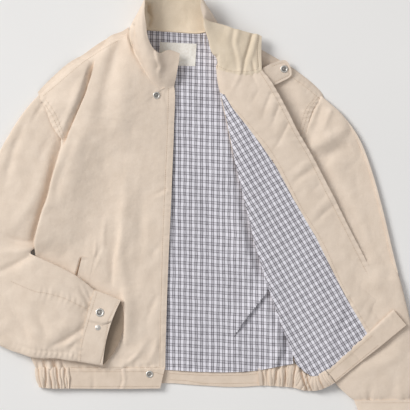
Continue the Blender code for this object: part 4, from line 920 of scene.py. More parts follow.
def puckers(plan, depth, reach, pitch, slant, seed, points):
    """Ripples that cross a sewn line and die away within reach of it."""
    path = smooth_path(points)
    height = np.zeros(len(plan))
    here = near(path, plan, FOLD_END * reach)
    across, along, whole = beside(path, plan[here])
    inside = np.clip(np.minimum(along, whole - along) / pitch, 0, 1)
    ripple = wave((along + slant * np.abs(across)) / pitch * 2, seed)
    height[here] = depth * ripple * inside * np.exp(-((across / reach) ** 2))
    return height


def gathers(plan, depth, pitch, lean, seed, points):
    """Round pleats with sharp valleys between them, across a stretch of elastic."""
    path = smooth_path(points)
    across, along, whole = beside(path, plan)
    count = 200
    gaps = np.random.default_rng(seed).uniform(0.4, 1.6, count) * pitch
    edges = np.cumsum(gaps) - gaps[0]
    heights = np.random.default_rng(seed + 1).uniform(0.4, 1.3, count) * depth
    place = np.clip(along + lean * across + 0.5 * np.sin(0.25 * across), 0, edges[-1] - 1)
    k = np.searchsorted(edges, place, side="right") - 1
    t = (place - edges[k]) / (edges[k + 1] - edges[k]) * 2 - 1
    return heights[k] * (1 - np.abs(t) ** 2.2 - 0.6)


def crumple(plan, depth, across, along, turn, seed):
    """Soft uneven hollows and swellings, across by along in size, turned by so many degrees."""
    angle = math.radians(turn)
    middle = 60
    u = (plan[:, 0] * math.cos(angle) - plan[:, 1] * math.sin(angle)) / across + middle
    v = (plan[:, 0] * math.sin(angle) + plan[:, 1] * math.cos(angle)) / along + middle
    u = u + 0.35 * np.sin(2.1 * v + seed)
    knots = np.random.default_rng(seed).uniform(-1, 1, (2 * middle + 1, 2 * middle + 1))
    i = u.astype(int)
    j = v.astype(int)
    s = (u - i) ** 2 * (3 - 2 * (u - i))
    t = (v - j) ** 2 * (3 - 2 * (v - j))
    above = knots[i, j] * (1 - s) + knots[i + 1, j] * s
    below = knots[i, j + 1] * (1 - s) + knots[i + 1, j + 1] * s
    return depth * (above * (1 - t) + below * t)


def relief(piece, plan):
    """Height of all the folds, ripples and gathers that a piece has, at these plan points."""
    height = np.zeros(len(plan))
    for shape, table in ((crumple, CRUMPLES), (crease, CREASES), (puckers, PUCKERS), (gathers, GATHERS)):
        for sizes in table.get(piece, ()):
            height += shape(plan, *sizes)
    return height


def points_down(points):
    """Whether a tube's grid normals point inwards, which is down on its top side."""
    out = normals(points, True)
    top = points[..., 2].argmax(axis=1)
    return out[np.arange(len(out)), top, 2].sum() < 0


def raised(points, height, ring=False):
    """The surface with these heights added, on both layers of a sheet that folds back, or a tube's top."""
    out = normals(points, ring)
    if ring:
        # A trough goes no deeper than 0.6 of the tube, so that its top stays above its underside.
        out = -out if points_down(points) else out
        height = np.maximum(height, -0.6 * (points[..., 2] - points[..., 2].min(axis=1, keepdims=True)))
    else:
        out = out * np.sign(out[..., 2:])
    # Steep cloth, as on a rolled edge, takes less of it.
    share = np.clip(out[..., 2] * 2.5, 0, 1)
    return points + out * (height * share)[..., None]


def relief_on(piece, points):
    """The same for a grid of points."""
    return relief(piece, points[..., :2].reshape(-1, 2)).reshape(points.shape[:2])


def folded(piece, points, ring=False):
    """The surface with its piece's folds, ripples and gathers."""
    return raised(points, relief_on(piece, points), ring)


def seated(points, tree, reach):
    """The grid with its first column a little into the cloth beneath it, and the next few eased to it."""
    depth, limit, span = 0.7, 14, 5
    outward = points[:, 0] - points[:, 3]
    outward /= np.linalg.norm(outward[:, :2], axis=1, keepdims=True)
    # The cloth beneath is felt for from 2 mm inside the sewn edge to 8 mm past it.
    tries = [points[:, 0] + outward * ahead for ahead in (-2, 0, 2, 4, 6, 8)]
    found = np.array([[height_on(tree, x, y)[0] for x, y, _ in row] for row in tries])
    drop = np.clip(found.max(axis=0) - depth - points[:, 0, 2], -limit, limit)
    drop = np.convolve(np.pad(drop, span // 2, "edge"), np.ones(span) / span, "valid")
    share = np.clip(1 - np.arange(points.shape[1]) / reach, 0, 1) ** 1.5
    moved = points.copy()
    moved[..., 2] += drop[:, None] * share
    return moved


def tucked(piece, points):
    """The surface with its overlapping folds: the cloth on both sides of each line slides past it."""
    moved = points.copy()
    plan = moved[..., :2].reshape(-1, 2)
    for pull, reach, points_along in TUCKS[piece]:
        path = smooth_path(points_along)
        here = near(path, plan, FOLD_END * reach)
        across, along, whole = beside(path, plan[here])
        before = np.concatenate(((0,), np.cumsum(np.linalg.norm(np.diff(path, axis=0), axis=1))))
        foot = np.column_stack([np.interp(along, before, path[:, k]) for k in (0, 1)])
        away = np.maximum(np.abs(across), 1e-6)
        fade = np.clip(2.2 * np.sin(np.pi * along / whole), 0, 1) ** 0.7
        # Cloth within 2 mm of the line ends up as far past it as the pull, as the rim of the fold.
        slide = (pull + np.minimum(away, 2)) * np.exp(-((away / reach) ** 2)) * fade
        plan[here] += (foot - plan[here]) * (slide / away)[:, None]
    moved[..., :2] = plan.reshape(moved[..., :2].shape)
    return moved


def kept_above(points, lowest):
    """The surface with nothing lower than this."""
    moved = points.copy()
    moved[..., 2] = np.maximum(moved[..., 2], lowest)
    return moved


def carried_on(points, edge, reach, lift):
    """The grid with its cloth run on past one edge, under or over the piece that it is sewn to."""
    grid = points if edge.endswith("row") else points.swapaxes(0, 1)
    grid = grid[::-1] if edge.startswith("last") else grid
    ahead = grid[0] - grid[3]
    ahead[:, 2] = 0
    ahead /= np.maximum(np.linalg.norm(ahead, axis=1, keepdims=True), 1e-9)
    rise = np.array((0, 0, 1)) * lift
    extra = [grid[0] + (ahead * reach + rise) * share for share in (1, 0.7, 0.35)]
    grid = np.concatenate((extra, grid))
    grid = grid[::-1] if edge.startswith("last") else grid
    return grid if edge.endswith("row") else grid.swapaxes(0, 1)


def sewn_under(node, points, wall):
    """The grid run on past its seams, and kept above the floor by half its wall."""
    for edge, reach, lift in CARRIED.get(node, ()):
        points = carried_on(points, edge, reach, lift)
    return kept_above(points, wall / 2 + LOWEST)


# Finished pieces.

PIECES = {}  # the finished cloth of each node


def finished(made, piece_slot, *nodes):
    """Hides the parts of these nodes, which the piece stands for, and lets it ride on the root; piece_slot is
    not used.
    """
    for node in nodes:
        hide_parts(node)
    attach(made, "root")
    return made


def cloth(name, points, thickness, finish, other=None, ring=False, kept=None, plan_uv=False):
    """A thin wall of cloth through these points, half on each side, with its own cloth coordinates in metres.

    Other is the finish of its far side: the inside of a tube, or where a sheet's grid normals don't point.
    """
    if ring and points_down(points):
        points = points[:, ::-1]
    rows, columns = points.shape[:2]
    wide = np.concatenate((points, points[:, :1]), axis=1) if ring else points
    if plan_uv:
        uv = wide[..., :2] * MM
    else:
        across = np.linalg.norm(np.diff(wide, axis=1), axis=2)
        across = np.concatenate((np.zeros((rows, 1)), np.cumsum(across, axis=1)), axis=1)
        down = np.linalg.norm(np.diff(wide, axis=0), axis=2)
        down = np.concatenate((np.zeros((1, wide.shape[1])), np.cumsum(down, axis=0)), axis=0)
        uv = np.stack((across - across[:, -1:] / 2, -down), axis=2) * MM
    i, j = np.meshgrid(np.arange(rows - 1), np.arange(wide.shape[1] - 1), indexing="ij")
    if kept is not None:
        i, j = i[kept], j[kept]
    i, j = i.ravel(), j.ravel()
    corners = np.stack((i, i + 1, i + 1, i)), np.stack((j, j, j + 1, j + 1))
    faces = (corners[0] * columns + corners[1] % columns).T
    face_uv = uv[corners[0].T, corners[1].T].reshape(-1, 2)
    used, faces = np.unique(faces, return_inverse=True)
    faces = faces.reshape(-1, 4)
    placed = (points.reshape(-1, 3)[used] - np.array((*CENTRE, 0))) * MM
    mesh = bpy.data.meshes.new(name)
    mesh.from_pydata(placed.tolist(), [], faces.tolist())
    layer = mesh.uv_layers.new(name="cloth")
    layer.data.foreach_set("uv", face_uv.ravel())
    mesh.materials.append(finish)
    made = bpy.data.objects.new(name, mesh)
    bpy.context.scene.collection.objects.link(made)
    wall = made.modifiers.new("wall", "SOLIDIFY")
    wall.thickness = thickness * MM
    wall.offset = 0
    if other:
        mesh.materials.append(other)
        wall.material_offset = 1
    whole = bpy.data.meshes.new_from_object(made.evaluated_get(bpy.context.evaluated_depsgraph_get()))
    made.modifiers.clear()
    made.data = whole
    whole.name = name
    whole.shade_smooth()
    whole.set_sharp_from_angle(angle=math.radians(60))
    return made


def sewn(node, points, thickness, finish, slot="shell_cotton", name=None, **how):
    """Makes the cloth of a node and puts it in place of the node's parts."""
    made = cloth(name or node + "_cloth", points, thickness, finish, **how)
    PIECES[node] = finished(made, slot, node)


@functools.cache
def tree_of(*nodes):
    """A search tree of the finished cloth of these nodes, in table millimetres."""
    corners = []
    faces = []
    for node in nodes:
        mesh = PIECES[node].data
        found = np.empty(len(mesh.vertices) * 3)
        mesh.vertices.foreach_get("co", found)
        start = len(corners)
        corners += (found.reshape(-1, 3) / MM + np.array((*CENTRE, 0))).tolist()
        faces += [[start + v for v in p.vertices] for p in mesh.polygons]
    return BVHTree.FromPolygons(corners, faces)


def height_on(tree, x, y):
    """Height of the cloth under a plan point, and its upward direction."""
    place, normal, _, _ = tree.ray_cast(Vector((x, y, 1000)), Vector((0, 0, -1)))
    if place is None:
        return 0.0, Vector((0, 0, 1))
    return place.z, normal


def on_cloth(tree, corners, down, across, lift):
    """A four-cornered piece that follows the cloth beneath it."""
    a, b, c, d = (np.array(p) for p in corners)
    rows = []
    for u in np.linspace(0, 1, down):
        row = []
        for v in np.linspace(0, 1, across):
            x, y = (a * (1 - v) + b * v) * (1 - u) + (d * (1 - v) + c * v) * u
            row.append((x, y, height_on(tree, x, y)[0] + lift))
        rows.append(row)
    return np.array(rows)


# Finishes.


def linear(code):
    """The linear colour of an sRGB hex value."""
    parts = [int(code[i : i + 2], 16) / 255 for i in (1, 3, 5)]
    return (*(p / 12.92 if p <= 0.04045 else ((p + 0.055) / 1.055) ** 2.4 for p in parts), 1)


def add(tree, kind, inputs=(), **settings):
    """Adds a node. Inputs are pairs of a socket's name or number and its value or the output for it."""
    node = tree.nodes.new(kind)
    for key, value in settings.items():
        setattr(node, key, value)
    for socket, value in inputs:
        if isinstance(value, bpy.types.NodeSocket):
            tree.links.new(value, node.inputs[socket])
        else:
            node.inputs[socket].default_value = value
    return node


def blank(name, **sockets):
    """A material with one Principled shader, its constant sockets set, and its node tree."""
    made = bpy.data.materials.new(name)
    made.use_nodes = True
    shader = made.node_tree.nodes["Principled BSDF"]
    for socket, value in sockets.items():
        shader.inputs[socket.replace("_", " ")].default_value = value
    return made, made.node_tree, shader


def tinted(tree, shader, factor, stops):
    """Colours the shader by this factor, with stops as pairs of a place and an sRGB hex value."""
    tint = add(tree, "ShaderNodeValToRGB", [("Fac", factor)])
    ramp = tint.color_ramp
    while len(ramp.elements) < len(stops):
        ramp.elements.new(0.5)
    for element, (place, code) in zip(ramp.elements, stops):
        element.position = place
        element.color = linear(code)
    tree.links.new(tint.outputs[0], shader.inputs["Base Color"])


def noise(tree, vector, scale, detail, roughness=0.5, **settings):
    """Noise whose scale is in blotches a metre."""
    inputs = [("Vector", vector), ("Scale", scale), ("Detail", detail), ("Roughness", roughness)]
    return add(tree, "ShaderNodeTexNoise", inputs, **settings).outputs


def worked(tree, operation, *values):
    """The result of a Math node on these values or outputs."""
    return add(tree, "ShaderNodeMath", list(enumerate(values)), operation=operation).outputs[0]


def mapped(tree, value, *limits, **settings):
    """The value carried from between the first two limits to between the last two."""
    inputs = [("Value", value), *enumerate(limits, 1)]
    return add(tree, "ShaderNodeMapRange", inputs, **settings).outputs[0]


def embossed(tree, shader, *layers):
    """Bumps, finest first, each a strength, a depth in metres and the output that gives its height."""
    beneath = []
    for strength, depth, height in layers:
        inputs = [("Strength", strength), ("Distance", depth), ("Height", height), *beneath]
        beneath = [("Normal", add(tree, "ShaderNodeBump", inputs).outputs[0])]
    tree.links.new(beneath[0][1], shader.inputs["Normal"])


def cotton_twill(name, pale, deep, wale):
    """Washed cotton twill: slanting wales, a dry bloom at glancing angles, fine creasing, faint mottle."""
    made, tree, shader = blank(
        name,
        Roughness=0.9,
        Sheen_Weight=0.12,
        Sheen_Roughness=0.55,
        Specular_IOR_Level=0.25,
    )
    cloth_uv = add(tree, "ShaderNodeUVMap", uv_map="cloth").outputs[0]
    place = add(tree, "ShaderNodeTexCoord").outputs["Object"]
    # Wash mottle, about 25 mm across, and yarn flecks of 1.5 mm, drawn coarse enough to show.
    mottle = noise(tree, place, 40.0, 4.0, 0.6)
    fleck = noise(tree, cloth_uv, 650.0, 2.0)
    both = add(tree, "ShaderNodeMix", [("Factor", 0.35), ("A", mottle[0]), ("B", fleck[0])])
    tinted(tree, shader, both.outputs[0], ((0.3, deep), (0.68, pale)))
    # Wales: a diagonal wave whose bands lie wale metres apart, broken up by the yarns.
    bands = add(
        tree,
        "ShaderNodeTexWave",
        [
            ("Vector", cloth_uv),
            ("Scale", 2 * math.pi / (10 * wale * math.sqrt(2))),
            ("Distortion", 0.6),
            ("Detail", 1.0),
        ],
        bands_direction="DIAGONAL",
    )
    # Creasing about 10 mm across.
    creasing = noise(tree, place, 95.0, 5.0, 0.62)
    embossed(tree, shader, (0.5, 0.00012, bands.outputs["Fac"]), (0.55, 0.0016, creasing[0]))
    return made


def line_mask(tree, coordinate, period, pair, width):
    """1 on each of a pair of lines that repeats every period, and a little between the two."""
    counted = worked(tree, "MULTIPLY", coordinate, 1 / period)
    centred = worked(tree, "ADD", worked(tree, "FRACT", counted), -0.5)
    away = worked(tree, "ABSOLUTE", centred)
    edge = worked(tree, "ABSOLUTE", worked(tree, "ADD", away, -pair / 2 / period))
    # A line is full to 0.3 of its width from its middle, and gone at 0.66.
    sides = (0.3 * width / period, 0.66 * width / period)
    line = mapped(tree, edge, *sides, 1.0, 0.0, interpolation_type="SMOOTHSTEP")
    between = mapped(tree, away, 0.5 * pair / period, 0.7 * pair / period, BETWEEN_SHARE, 0.0)
    return worked(tree, "MAXIMUM", line, between)


def checked_cotton(name, turn, weft_slope):
    """Light plain weave cotton: pairs of dark yarns both ways on a cool white ground, matte and thin."""
    made, tree, shader = blank(
        name,
        Roughness=0.85,
        Sheen_Weight=0.1,
        Sheen_Roughness=0.5,
        Specular_IOR_Level=0.25,
    )
    cloth_uv = add(tree, "ShaderNodeUVMap", uv_map="cloth").outputs[0]
    laid = add(tree, "ShaderNodeMapping", [("Vector", cloth_uv), ("Rotation", (0.0, 0.0, turn))])
    # Yarns waver by about half a millimetre.
    waver = noise(tree, cloth_uv, 28.0, 3.0, noise_dimensions="2D")
    shift = add(
        tree,
        "ShaderNodeVectorMath",
        [(0, waver["Color"]), (1, (0.0022, 0.0022, 0.0)), (2, laid.outputs[0])],
        operation="MULTIPLY_ADD",
    )
    axes = add(tree, "ShaderNodeSeparateXYZ", [(0, shift.outputs[0])]).outputs
    warp = line_mask(tree, axes[0], WARP_PERIOD, WARP_PAIR, YARN_LINE)
    leaning = worked(tree, "MULTIPLY_ADD", axes[0], weft_slope, axes[1])
    weft = line_mask(tree, leaning, WEFT_PERIOD, WEFT_PAIR, YARN_LINE)
    less = worked(tree, "MULTIPLY", weft, WEFT_SHARE)
    yarns = worked(tree, "MULTIPLY_ADD", warp, 1 - WEFT_SHARE, less)
    # Worn yarns: the lines fade in places.
    fade = mapped(tree, noise(tree, cloth_uv, 120.0, 3.0)[0], 0.3, 0.7, 0.8, 1.1)
    tinted(tree, shader, worked(tree, "MULTIPLY", yarns, fade), CHECK_TINTS)
    # Threads, drawn about 1 mm apart so that they show, and creasing about 13 mm across.
    threads = noise(tree, cloth_uv, 900.0, 1.0)
    creasing = noise(tree, cloth_uv, 75.0, 4.0, 0.6)
    embossed(tree, shader, (0.3, 0.0001, threads[0]), (0.5, 0.002, creasing[0]))
    return made


def woven_tape():
    """Off-white satin tape: fine ribs across it and a slight gloss."""
    made, tree, shader = blank("woven label tape", Roughness=0.6, Sheen_Weight=0.1)
    cloth_uv = add(tree, "ShaderNodeUVMap", uv_map="cloth").outputs[0]
    ribs = add(tree, "ShaderNodeTexWave", [("Vector", cloth_uv), ("Scale", 2 * math.pi / (20 * TAPE_RIB))])
    tinted(tree, shader, noise(tree, cloth_uv, 260.0, 3.0)[0], ((0.35, TAPE_DEEP), (0.65, TAPE_PALE)))
    embossed(tree, shader, (0.4, 0.0001, ribs.outputs["Fac"]))
    return made


def sewing_thread(name, pale, deep):
    """Spun polyester thread, a little shiny, with its twist."""
    made, tree, shader = blank(name, Roughness=0.6, Sheen_Weight=0.2)
    place = add(tree, "ShaderNodeTexCoord").outputs["Object"]
    twist = noise(tree, place, 900.0, 2.0)
    tinted(tree, shader, twist[0], ((0.35, deep), (0.65, pale)))
    embossed(tree, shader, (0.4, 0.0001, twist[0]))
    return made


def nickel_plate(name, pale, deep, roughness):
    """Stamped and nickel plated: a soft metal shine, with fine handling marks and cloudy patches."""
    made, tree, shader = blank(name, Metallic=1.0)
    place = add(tree, "ShaderNodeTexCoord").outputs["Object"]
    # Patches of about 2 mm.
    cloud = noise(tree, place, 420.0, 4.0, 0.6)
    tinted(tree, shader, cloud[0], ((0.35, deep), (0.7, pale)))
    rough = mapped(tree, cloud[0], 0.3, 0.7, roughness - 0.06, roughness + 0.1)
    tree.links.new(rough, shader.inputs["Roughness"])
    return made


def pale_board():
    """The surface it lies on: matt pale board, very slightly mottled."""
    made, tree, shader = blank("matt pale board", Roughness=0.95, Specular_IOR_Level=0.1)
    place = add(tree, "ShaderNodeTexCoord").outputs["Object"]
    tinted(tree, shader, noise(tree, place, 3.0, 2.0)[0], ((0.3, FLOOR_DEEP), (0.7, FLOOR_PALE)))
    return made


# Making the pieces.


def stitch_tree():
    """Geometry Nodes: a stitch at every pitch along each path, turned along it."""
    tree = bpy.data.node_groups.new("stitches", "GeometryNodeTree")
    for label, kind in (
        ("Geometry", "NodeSocketGeometry"),
        ("Pitch", "NodeSocketFloat"),
        ("Length", "NodeSocketFloat"),
        ("Thread", "NodeSocketFloat"),
        ("Finish", "NodeSocketMaterial"),
    ):
        tree.interface.new_socket(label, in_out="INPUT", socket_type=kind)
    tree.interface.new_socket("Geometry", in_out="OUTPUT", socket_type="NodeSocketGeometry")
    given = add(tree, "NodeGroupInput").outputs
    along = add(
        tree,
        "GeometryNodeResampleCurve",
        [("Curve", given["Geometry"]), ("Length", given["Pitch"])],
        mode="LENGTH",
    )
    tangent = add(tree, "GeometryNodeInputTangent")
    turn = add(tree, "FunctionNodeAlignRotationToVector", [("Vector", tangent.outputs[0])], axis="Z")
    stitch = add(tree, "GeometryNodeMeshUVSphere", [("Segments", 6), ("Rings", 4), ("Radius", 0.5)])
    size = add(
        tree,
        "ShaderNodeCombineXYZ",
        [("X", given["Thread"]), ("Y", given["Thread"]), ("Z", given["Length"])],
    )
    placed = add(
        tree,
        "GeometryNodeInstanceOnPoints",
        [
            ("Points", along.outputs[0]),
            ("Instance", stitch.outputs[0]),
            ("Rotation", turn.outputs[0]),
            ("Scale", size.outputs[0]),
        ],
    )
    real = add(tree, "GeometryNodeRealizeInstances", [(0, placed.outputs[0])])
    finish = add(
        tree,
        "GeometryNodeSetMaterial",
        [("Geometry", real.outputs[0]), ("Material", given["Finish"])],
    )
    add(tree, "NodeGroupOutput", [(0, finish.outputs[0])])
    return tree


def stitched(name, paths, finish):
    """One mesh of all the stitches along paths of points in metres."""
    curve = bpy.data.curves.new(name, "CURVE")
    curve.dimensions = "3D"
    for path in paths:
        line = curve.splines.new("POLY")
        line.points.add(len(path) - 1)
        for point, place in zip(line.points, path):
            point.co = (*place, 1)
    guide = bpy.data.objects.new(name + "_guide", curve)
    bpy.context.scene.collection.objects.link(guide)
    modifier = guide.modifiers.new("stitches", "NODES")
    modifier.node_group = stitch_tree()
    inputs = {
        "Pitch": STITCH_PITCH * MM,
        "Length": STITCH_LENGTH * MM,
        "Thread": THREAD * MM,
        "Finish": finish,
    }
    for item in modifier.node_group.interface.items_tree:
        if item.name in inputs:
            modifier[item.identifier] = inputs[item.name]
    graph = bpy.context.evaluated_depsgraph_get()
    mesh = bpy.data.meshes.new_from_object(guide.evaluated_get(graph))
    mesh.name = name
    mesh.shade_smooth()
    made = bpy.data.objects.new(name, mesh)
    bpy.context.scene.collection.objects.link(made)
    bpy.data.objects.remove(guide)
    return made


def over_cloth(tree, points, lift):
    """A stitch line's points in metres, laid on the cloth beneath it. Points past its edge are left out."""
    path = np.array(points, float)[:, :2]
    places = np.linspace(0, len(path) - 1, 10 * (len(path) - 1) + 1)
    path = weights(len(path), places) @ path
    laid = []
    for x, y in path:
        height = height_on(tree, x, y)[0]
        if height > 0:
            laid.append(((x - CENTRE[0]) * MM, (y - CENTRE[1]) * MM, (height + lift) * MM))
    return laid


def turned(name, profile, steps_round, finishes, place, up):
    """A turned piece: its profile runs up from the axis, each row with the finish of the stretch below it."""
    rings = []
    angles = np.arange(steps_round) * 2 * np.pi / steps_round
    for radius, height, _ in profile:
        level = np.full(steps_round, height)
        rings.append(np.column_stack((radius * np.cos(angles), radius * np.sin(angles), level)))
    points = np.concatenate(rings)
    faces = []
    kinds = []
    for i in range(len(profile) - 1):
        low = i * steps_round
        high = low + steps_round
        for j in range(steps_round):
            k = (j + 1) % steps_round
            faces.append((low + j, low + k, high + k, high + j))
            kinds.append(profile[i + 1][2])
    faces.append(tuple(range(steps_round))[::-1])
    kinds.append(profile[0][2])
    last = (len(profile) - 1) * steps_round
    faces.append(tuple(last + j for j in range(steps_round)))
    kinds.append(profile[-1][2])
    rotation = Vector((0, 0, 1)).rotation_difference(up).to_matrix()
    placed = [(rotation @ Vector(p)) * MM + place for p in points]
    mesh = bpy.data.meshes.new(name)
    mesh.from_pydata([tuple(p) for p in placed], [], faces)
    for finish in finishes:
        mesh.materials.append(finish)
    mesh.polygons.foreach_set("material_index", kinds)
    mesh.shade_smooth()
    mesh.set_sharp_from_angle(angle=math.radians(40))
    made = bpy.data.objects.new(name, mesh)
    bpy.context.scene.collection.objects.link(made)
    return made


def snap_profile(name, width):
    """The outline in millimetres of a cap's ring and hollow, or of a stud."""
    rows = STUD_PROFILE if name.endswith("stud") else CAP_PROFILE
    return [(share * width, height, kind) for share, height, kind in rows]


# Finishes in use.
SHELL_TWILL = cotton_twill("washed cotton twill", SAND_PALE, SAND_DEEP, WALE)
# Painted shade: the yellower twill of the collar.
COLLAR_SHADE_TWILL = cotton_twill("washed cotton twill, yellowed with painted shade", STRAW_PALE, STRAW_DEEP, WALE)
BAND_TWILL = cotton_twill("cotton twill of the waistband", BAND_PALE, BAND_DEEP, WALE)
# Painted shade: a darker twill for the inside of the sleeves and cuffs.
SHADED_TWILL = cotton_twill("cotton twill with painted shade, inside the tubes", TUBE_SHADE_PALE, TUBE_SHADE_DEEP, WALE)
BACK_CHECK = checked_cotton("checked lining cotton", BACK_CHECK_TURN, BACK_WEFT_SLOPE)
FLAP_CHECK = checked_cotton("checked lining cotton on the slant", FLAP_CHECK_TURN, 0.0)
TAPE = woven_tape()
# The topstitch thread carries painted shade of its needle holes.
SEAM_THREAD = sewing_thread("twisted sewing thread", THREAD_PALE, THREAD_DEEP)
TACK_THREAD = sewing_thread("twisted thread, brown", TACK_PALE, TACK_DEEP)
BRIGHT_NICKEL = nickel_plate("nickel plate", NICKEL_PALE, NICKEL_DEEP, 0.42)
# Painted shade in the snap's hollow.
HOLLOW_SHADE_NICKEL = nickel_plate("nickel plate with painted shade in the hollow", HOLLOW_PALE, HOLLOW_DEEP, 0.5)

# Back and its lining.
back = np.array([[(x, y, SHELL / 2 + LOWEST) for x, y in row] for row in BACK_ROWS])
sewn("back_panel", patch(back, np.linspace(0, 13, 60), np.linspace(0, 4, 40)), SHELL, SHELL_TWILL)

lining_points = patch(LINING_ROWS, np.linspace(0, 9, 210), np.linspace(0, 2, 90))
hem_x, hem_y = np.array(HEM_LINE).T
to_hem = np.interp(lining_points[-1, :, 0], hem_x, hem_y) - lining_points[-1, :, 1]
near_hem = (np.linspace(0, 1, 210) ** 8)[:, None]
lining_points[..., 1] += to_hem * near_hem
# The last rows rise onto the gathered waistband at the side.
lining_points[..., 2] += near_hem * np.interp(lining_points[..., 0], (96, 120), (1, 4))
lining_points = kept_above(folded("back_lining", lining_points), SHELL + LOWEST + LINING)
lining_points = sewn_under("back_lining", tucked("back_lining", lining_points), LINING)
sewn("back_lining", lining_points, LINING, BACK_CHECK, slot="lining_check", plan_uv=True)

# Closed front. Its grid is finest on the rolled edge.
edge_places = np.array((0, 0.3, 0.6, 0.85, 1, 1.2, 1.4, 1.6, 1.8, 2, 2.2, 2.4, 2.6, 2.8))
share_places = np.interp(np.linspace(0, 1, 146), (0, *FRONT_SHARES), (3, 4, 5, 6, 7, 8))
front_points = patch(front_grid(), np.linspace(0, 14, 290), np.concatenate((edge_places, share_places)))
front_points = tucked("closed_front", folded("closed_front", front_points))
front_points = sewn_under("closed_front", front_points, SHELL)
front_points = kept_above(front_points, SHELL * 1.5 + LOWEST + LAYER_GAP)
sewn("closed_front", front_points, SHELL, SHELL_TWILL)

# Opened front with its lining and facing, whose seam is a column of the grid.
FLAP_STEPS = 33
stay_places = np.concatenate((np.linspace(0, 3, 40), np.linspace(3.05, 4, 14), np.linspace(4.1, 5, 12)))
row_places = np.linspace(0, 11, 230)
opened_rows = []
for place in row_places:
    seam = np.interp(place, *np.array(FACING_SEAM).T)
    lined = np.linspace(5, seam, FLAP_STEPS + 1)[1:]
    faced = np.linspace(seam, 9, FLAP_STEPS + 1)[1:]
    opened_rows.append(patch(OPEN_ROWS, [place], (*stay_places, *lined, *faced))[0])
opened = np.array(opened_rows)
turned_up = np.ones(opened.shape[1])
turned_up[: len(stay_places)] = np.clip(stay_places - 4, 0, 1)
flap_relief = relief_on("opened_front_facing", opened) + relief_on("opened_front_lining", opened)
opened = raised(opened, flap_relief * turned_up + relief_on("opened_front", opened) * (1 - turned_up))
sewn("opened_front", sewn_under("opened_front", opened, SHELL), SHELL, SHELL_TWILL)
on_top = opened + normals(opened) * ((SHELL + LINING) / 2 + LAYER_GAP)
row_at, column_at = np.indices((opened.shape[0] - 1, opened.shape[1] - 1))
inside_up = column_at >= np.searchsorted(stay_places, LINING_FIRST_PLACE)
past_seam = column_at >= len(stay_places) + FLAP_STEPS - 1
faced = past_seam | (inside_up & (row_places[row_at] < LINING_FIRST_ROW))
sewn("opened_front_facing", on_top, LINING, SHELL_TWILL, slot="facing_cotton", kept=faced)
lined = inside_up & ~faced
sewn("opened_front_lining", on_top, LINING, FLAP_CHECK, slot="lining_check", kept=lined, plan_uv=True)

# Collar.
collar_points = folded("collar", patch(COLLAR_ROWS, np.linspace(0, 20, 260), np.linspace(0, 4, 50)))
collar_base = tree_of("closed_front", "opened_front_facing", "back_lining")
collar_points = seated(collar_points, collar_base, COLLAR_EASE)
reach = np.interp(collar_points[:, :1, 1], COLLAR_BACK, COLLAR_REACH)
lift = np.interp(collar_points[:, :1, 1], COLLAR_BACK, COLLAR_LIFT)
collar_points = carried_on(collar_points, "first column", reach, lift)
collar_points = kept_above(collar_points, COLLAR_WALL / 2 + LOWEST)
sewn("collar", collar_points, COLLAR_WALL, COLLAR_SHADE_TWILL, other=SHELL_TWILL)

# Sleeves and cuffs.
TUBES = (
    # node, rows, steps along, steps around, turn, wall
    ("near_sleeve", NEAR_SLEEVE_ROWS, 250, 110, 1, SHELL),
    ("near_cuff", NEAR_CUFF_ROWS, 48, 220, 1, CUFF_WALL),
    ("far_sleeve", FAR_SLEEVE_ROWS, 230, 110, -1, SHELL),
    ("far_cuff", FAR_CUFF_ROWS, 36, 110, -1, CUFF_WALL),
)
for node, rows, along, around, turn, wall in TUBES:
    tube_points = folded(node, tube(rows, along, around, turn), ring=True)
    sewn(node, sewn_under(node, tube_points, wall), wall, SHELL_TWILL, other=SHADED_TWILL, ring=True)

# Waistband.
BANDS = (
    # node, rows, steps along, steps across
    ("closed_front_band", FRONT_BAND_ROWS, 120, 24),
    ("closed_side_band", SIDE_BAND_ROWS, 260, 26),
    ("back_band", back_band_rows(), 160, 16),
    ("opened_side_band", OPEN_SIDE_BAND_ROWS, 200, 26),
    ("opened_front_band", OPEN_BAND_ROWS, 120, 24),
)
for node, rows, along, across in BANDS:
    band_points = folded(node, strip(rows, along, across))
    sewn(node, sewn_under(node, band_points, RIB), RIB, BAND_TWILL, slot="waistband_cotton")

# Pocket welt, drawn straight over the pocket's slit and swelling towards it, then the label and the tab.
welt_points = on_cloth(tree_of("closed_front"), POCKET_CORNERS, 24, 14, -0.2)
past_slit, far_edge = welt_points[:, 2:3, 2], welt_points[:, -1:, 2]
to_far_edge = np.linspace(0, 1, 14)
welt_points[..., 2] = past_slit + to_far_edge * (far_edge - past_slit)
welt_points[..., 2] += WELT_SWELL * (1 - to_far_edge) ** 2
sewn("pocket_welt", welt_points, SHELL, SHELL_TWILL)
label_points = on_cloth(tree_of("back_lining"), LABEL_CORNERS, 24, 36, 0.7)
sewn("neck_label", label_points, LINING, TAPE, slot="label_tape", name="neck_label_tape")
sewn("neck_tab", folded("neck_tab", strip(TAB_ROWS, 60, 24)), TAB_WALL, SHELL_TWILL)

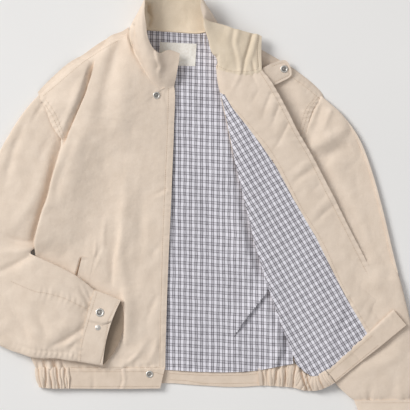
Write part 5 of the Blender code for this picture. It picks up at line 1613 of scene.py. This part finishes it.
# Snaps.
for node, base, (x, y), width in SNAPS:
    height, normal = height_on(tree_of(base), x, y)
    place = Vector(((x - CENTRE[0]) * MM, (y - CENTRE[1]) * MM, (height + 0.05) * MM))
    made = turned(node + "_metal", snap_profile(node, width), 40, (BRIGHT_NICKEL, HOLLOW_SHADE_NICKEL), place, normal)
    finished(made, "snap_metal", node)

# Topstitching, and the bartack at the inner pocket.
lines = [(node, points) for node, rows in STITCHES.items() for points in rows]
seams = [over_cloth(tree_of(node), points, THREAD * 0.3) for node, points in lines]
finished(stitched("topstitching", seams, SEAM_THREAD), "shell_cotton")
tack = [over_cloth(tree_of("opened_front_facing"), points, THREAD * 0.4) for points in TACK]
finished(stitched("bartack", tack, TACK_THREAD), "shell_cotton")

# Floor, light and camera.
bpy.ops.mesh.primitive_plane_add(size=12, location=(0, 0, 0))
floor = bpy.context.object
floor.name = "pale_floor"
floor.data.materials.append(pale_board())

world = bpy.data.worlds.new("soft room")
bpy.context.scene.world = world
world.use_nodes = True
sky = world.node_tree
direction = add(sky, "ShaderNodeTexCoord").outputs["Generated"]
height = add(sky, "ShaderNodeSeparateXYZ", [(0, direction)]).outputs[2]
glow = mapped(sky, height, 0.0, 1.0, WALL_GLOW, CEILING_GLOW)
sky.nodes["Background"].inputs["Color"].default_value = linear(ROOM)
sky.links.new(glow, sky.nodes["Background"].inputs["Strength"])
for name, position, power, size, code in LAMPS:
    lamp = bpy.data.lights.new(name, "AREA")
    lamp.energy = power
    lamp.size = size
    lamp.color = linear(code)[:3]
    lamp_object = bpy.data.objects.new(name, lamp)
    lamp_object.location = position
    lamp_object.rotation_euler = Vector(position).to_track_quat("Z", "Y").to_euler()
    bpy.context.scene.collection.objects.link(lamp_object)

camera_data = bpy.data.cameras.new("straight above")
camera_data.sensor_width = SENSOR
camera_data.lens = SENSOR * VIEW_HEIGHT / VIEW_SPAN
camera_data.clip_end = 30
camera = bpy.data.objects.new("straight above", camera_data)
camera.location = (-CENTRE[0] * MM, -CENTRE[1] * MM, VIEW_HEIGHT)
bpy.context.scene.collection.objects.link(camera)
bpy.context.scene.camera = camera
bpy.context.scene.view_settings.view_transform = "Standard"

bpy.context.view_layer.update()
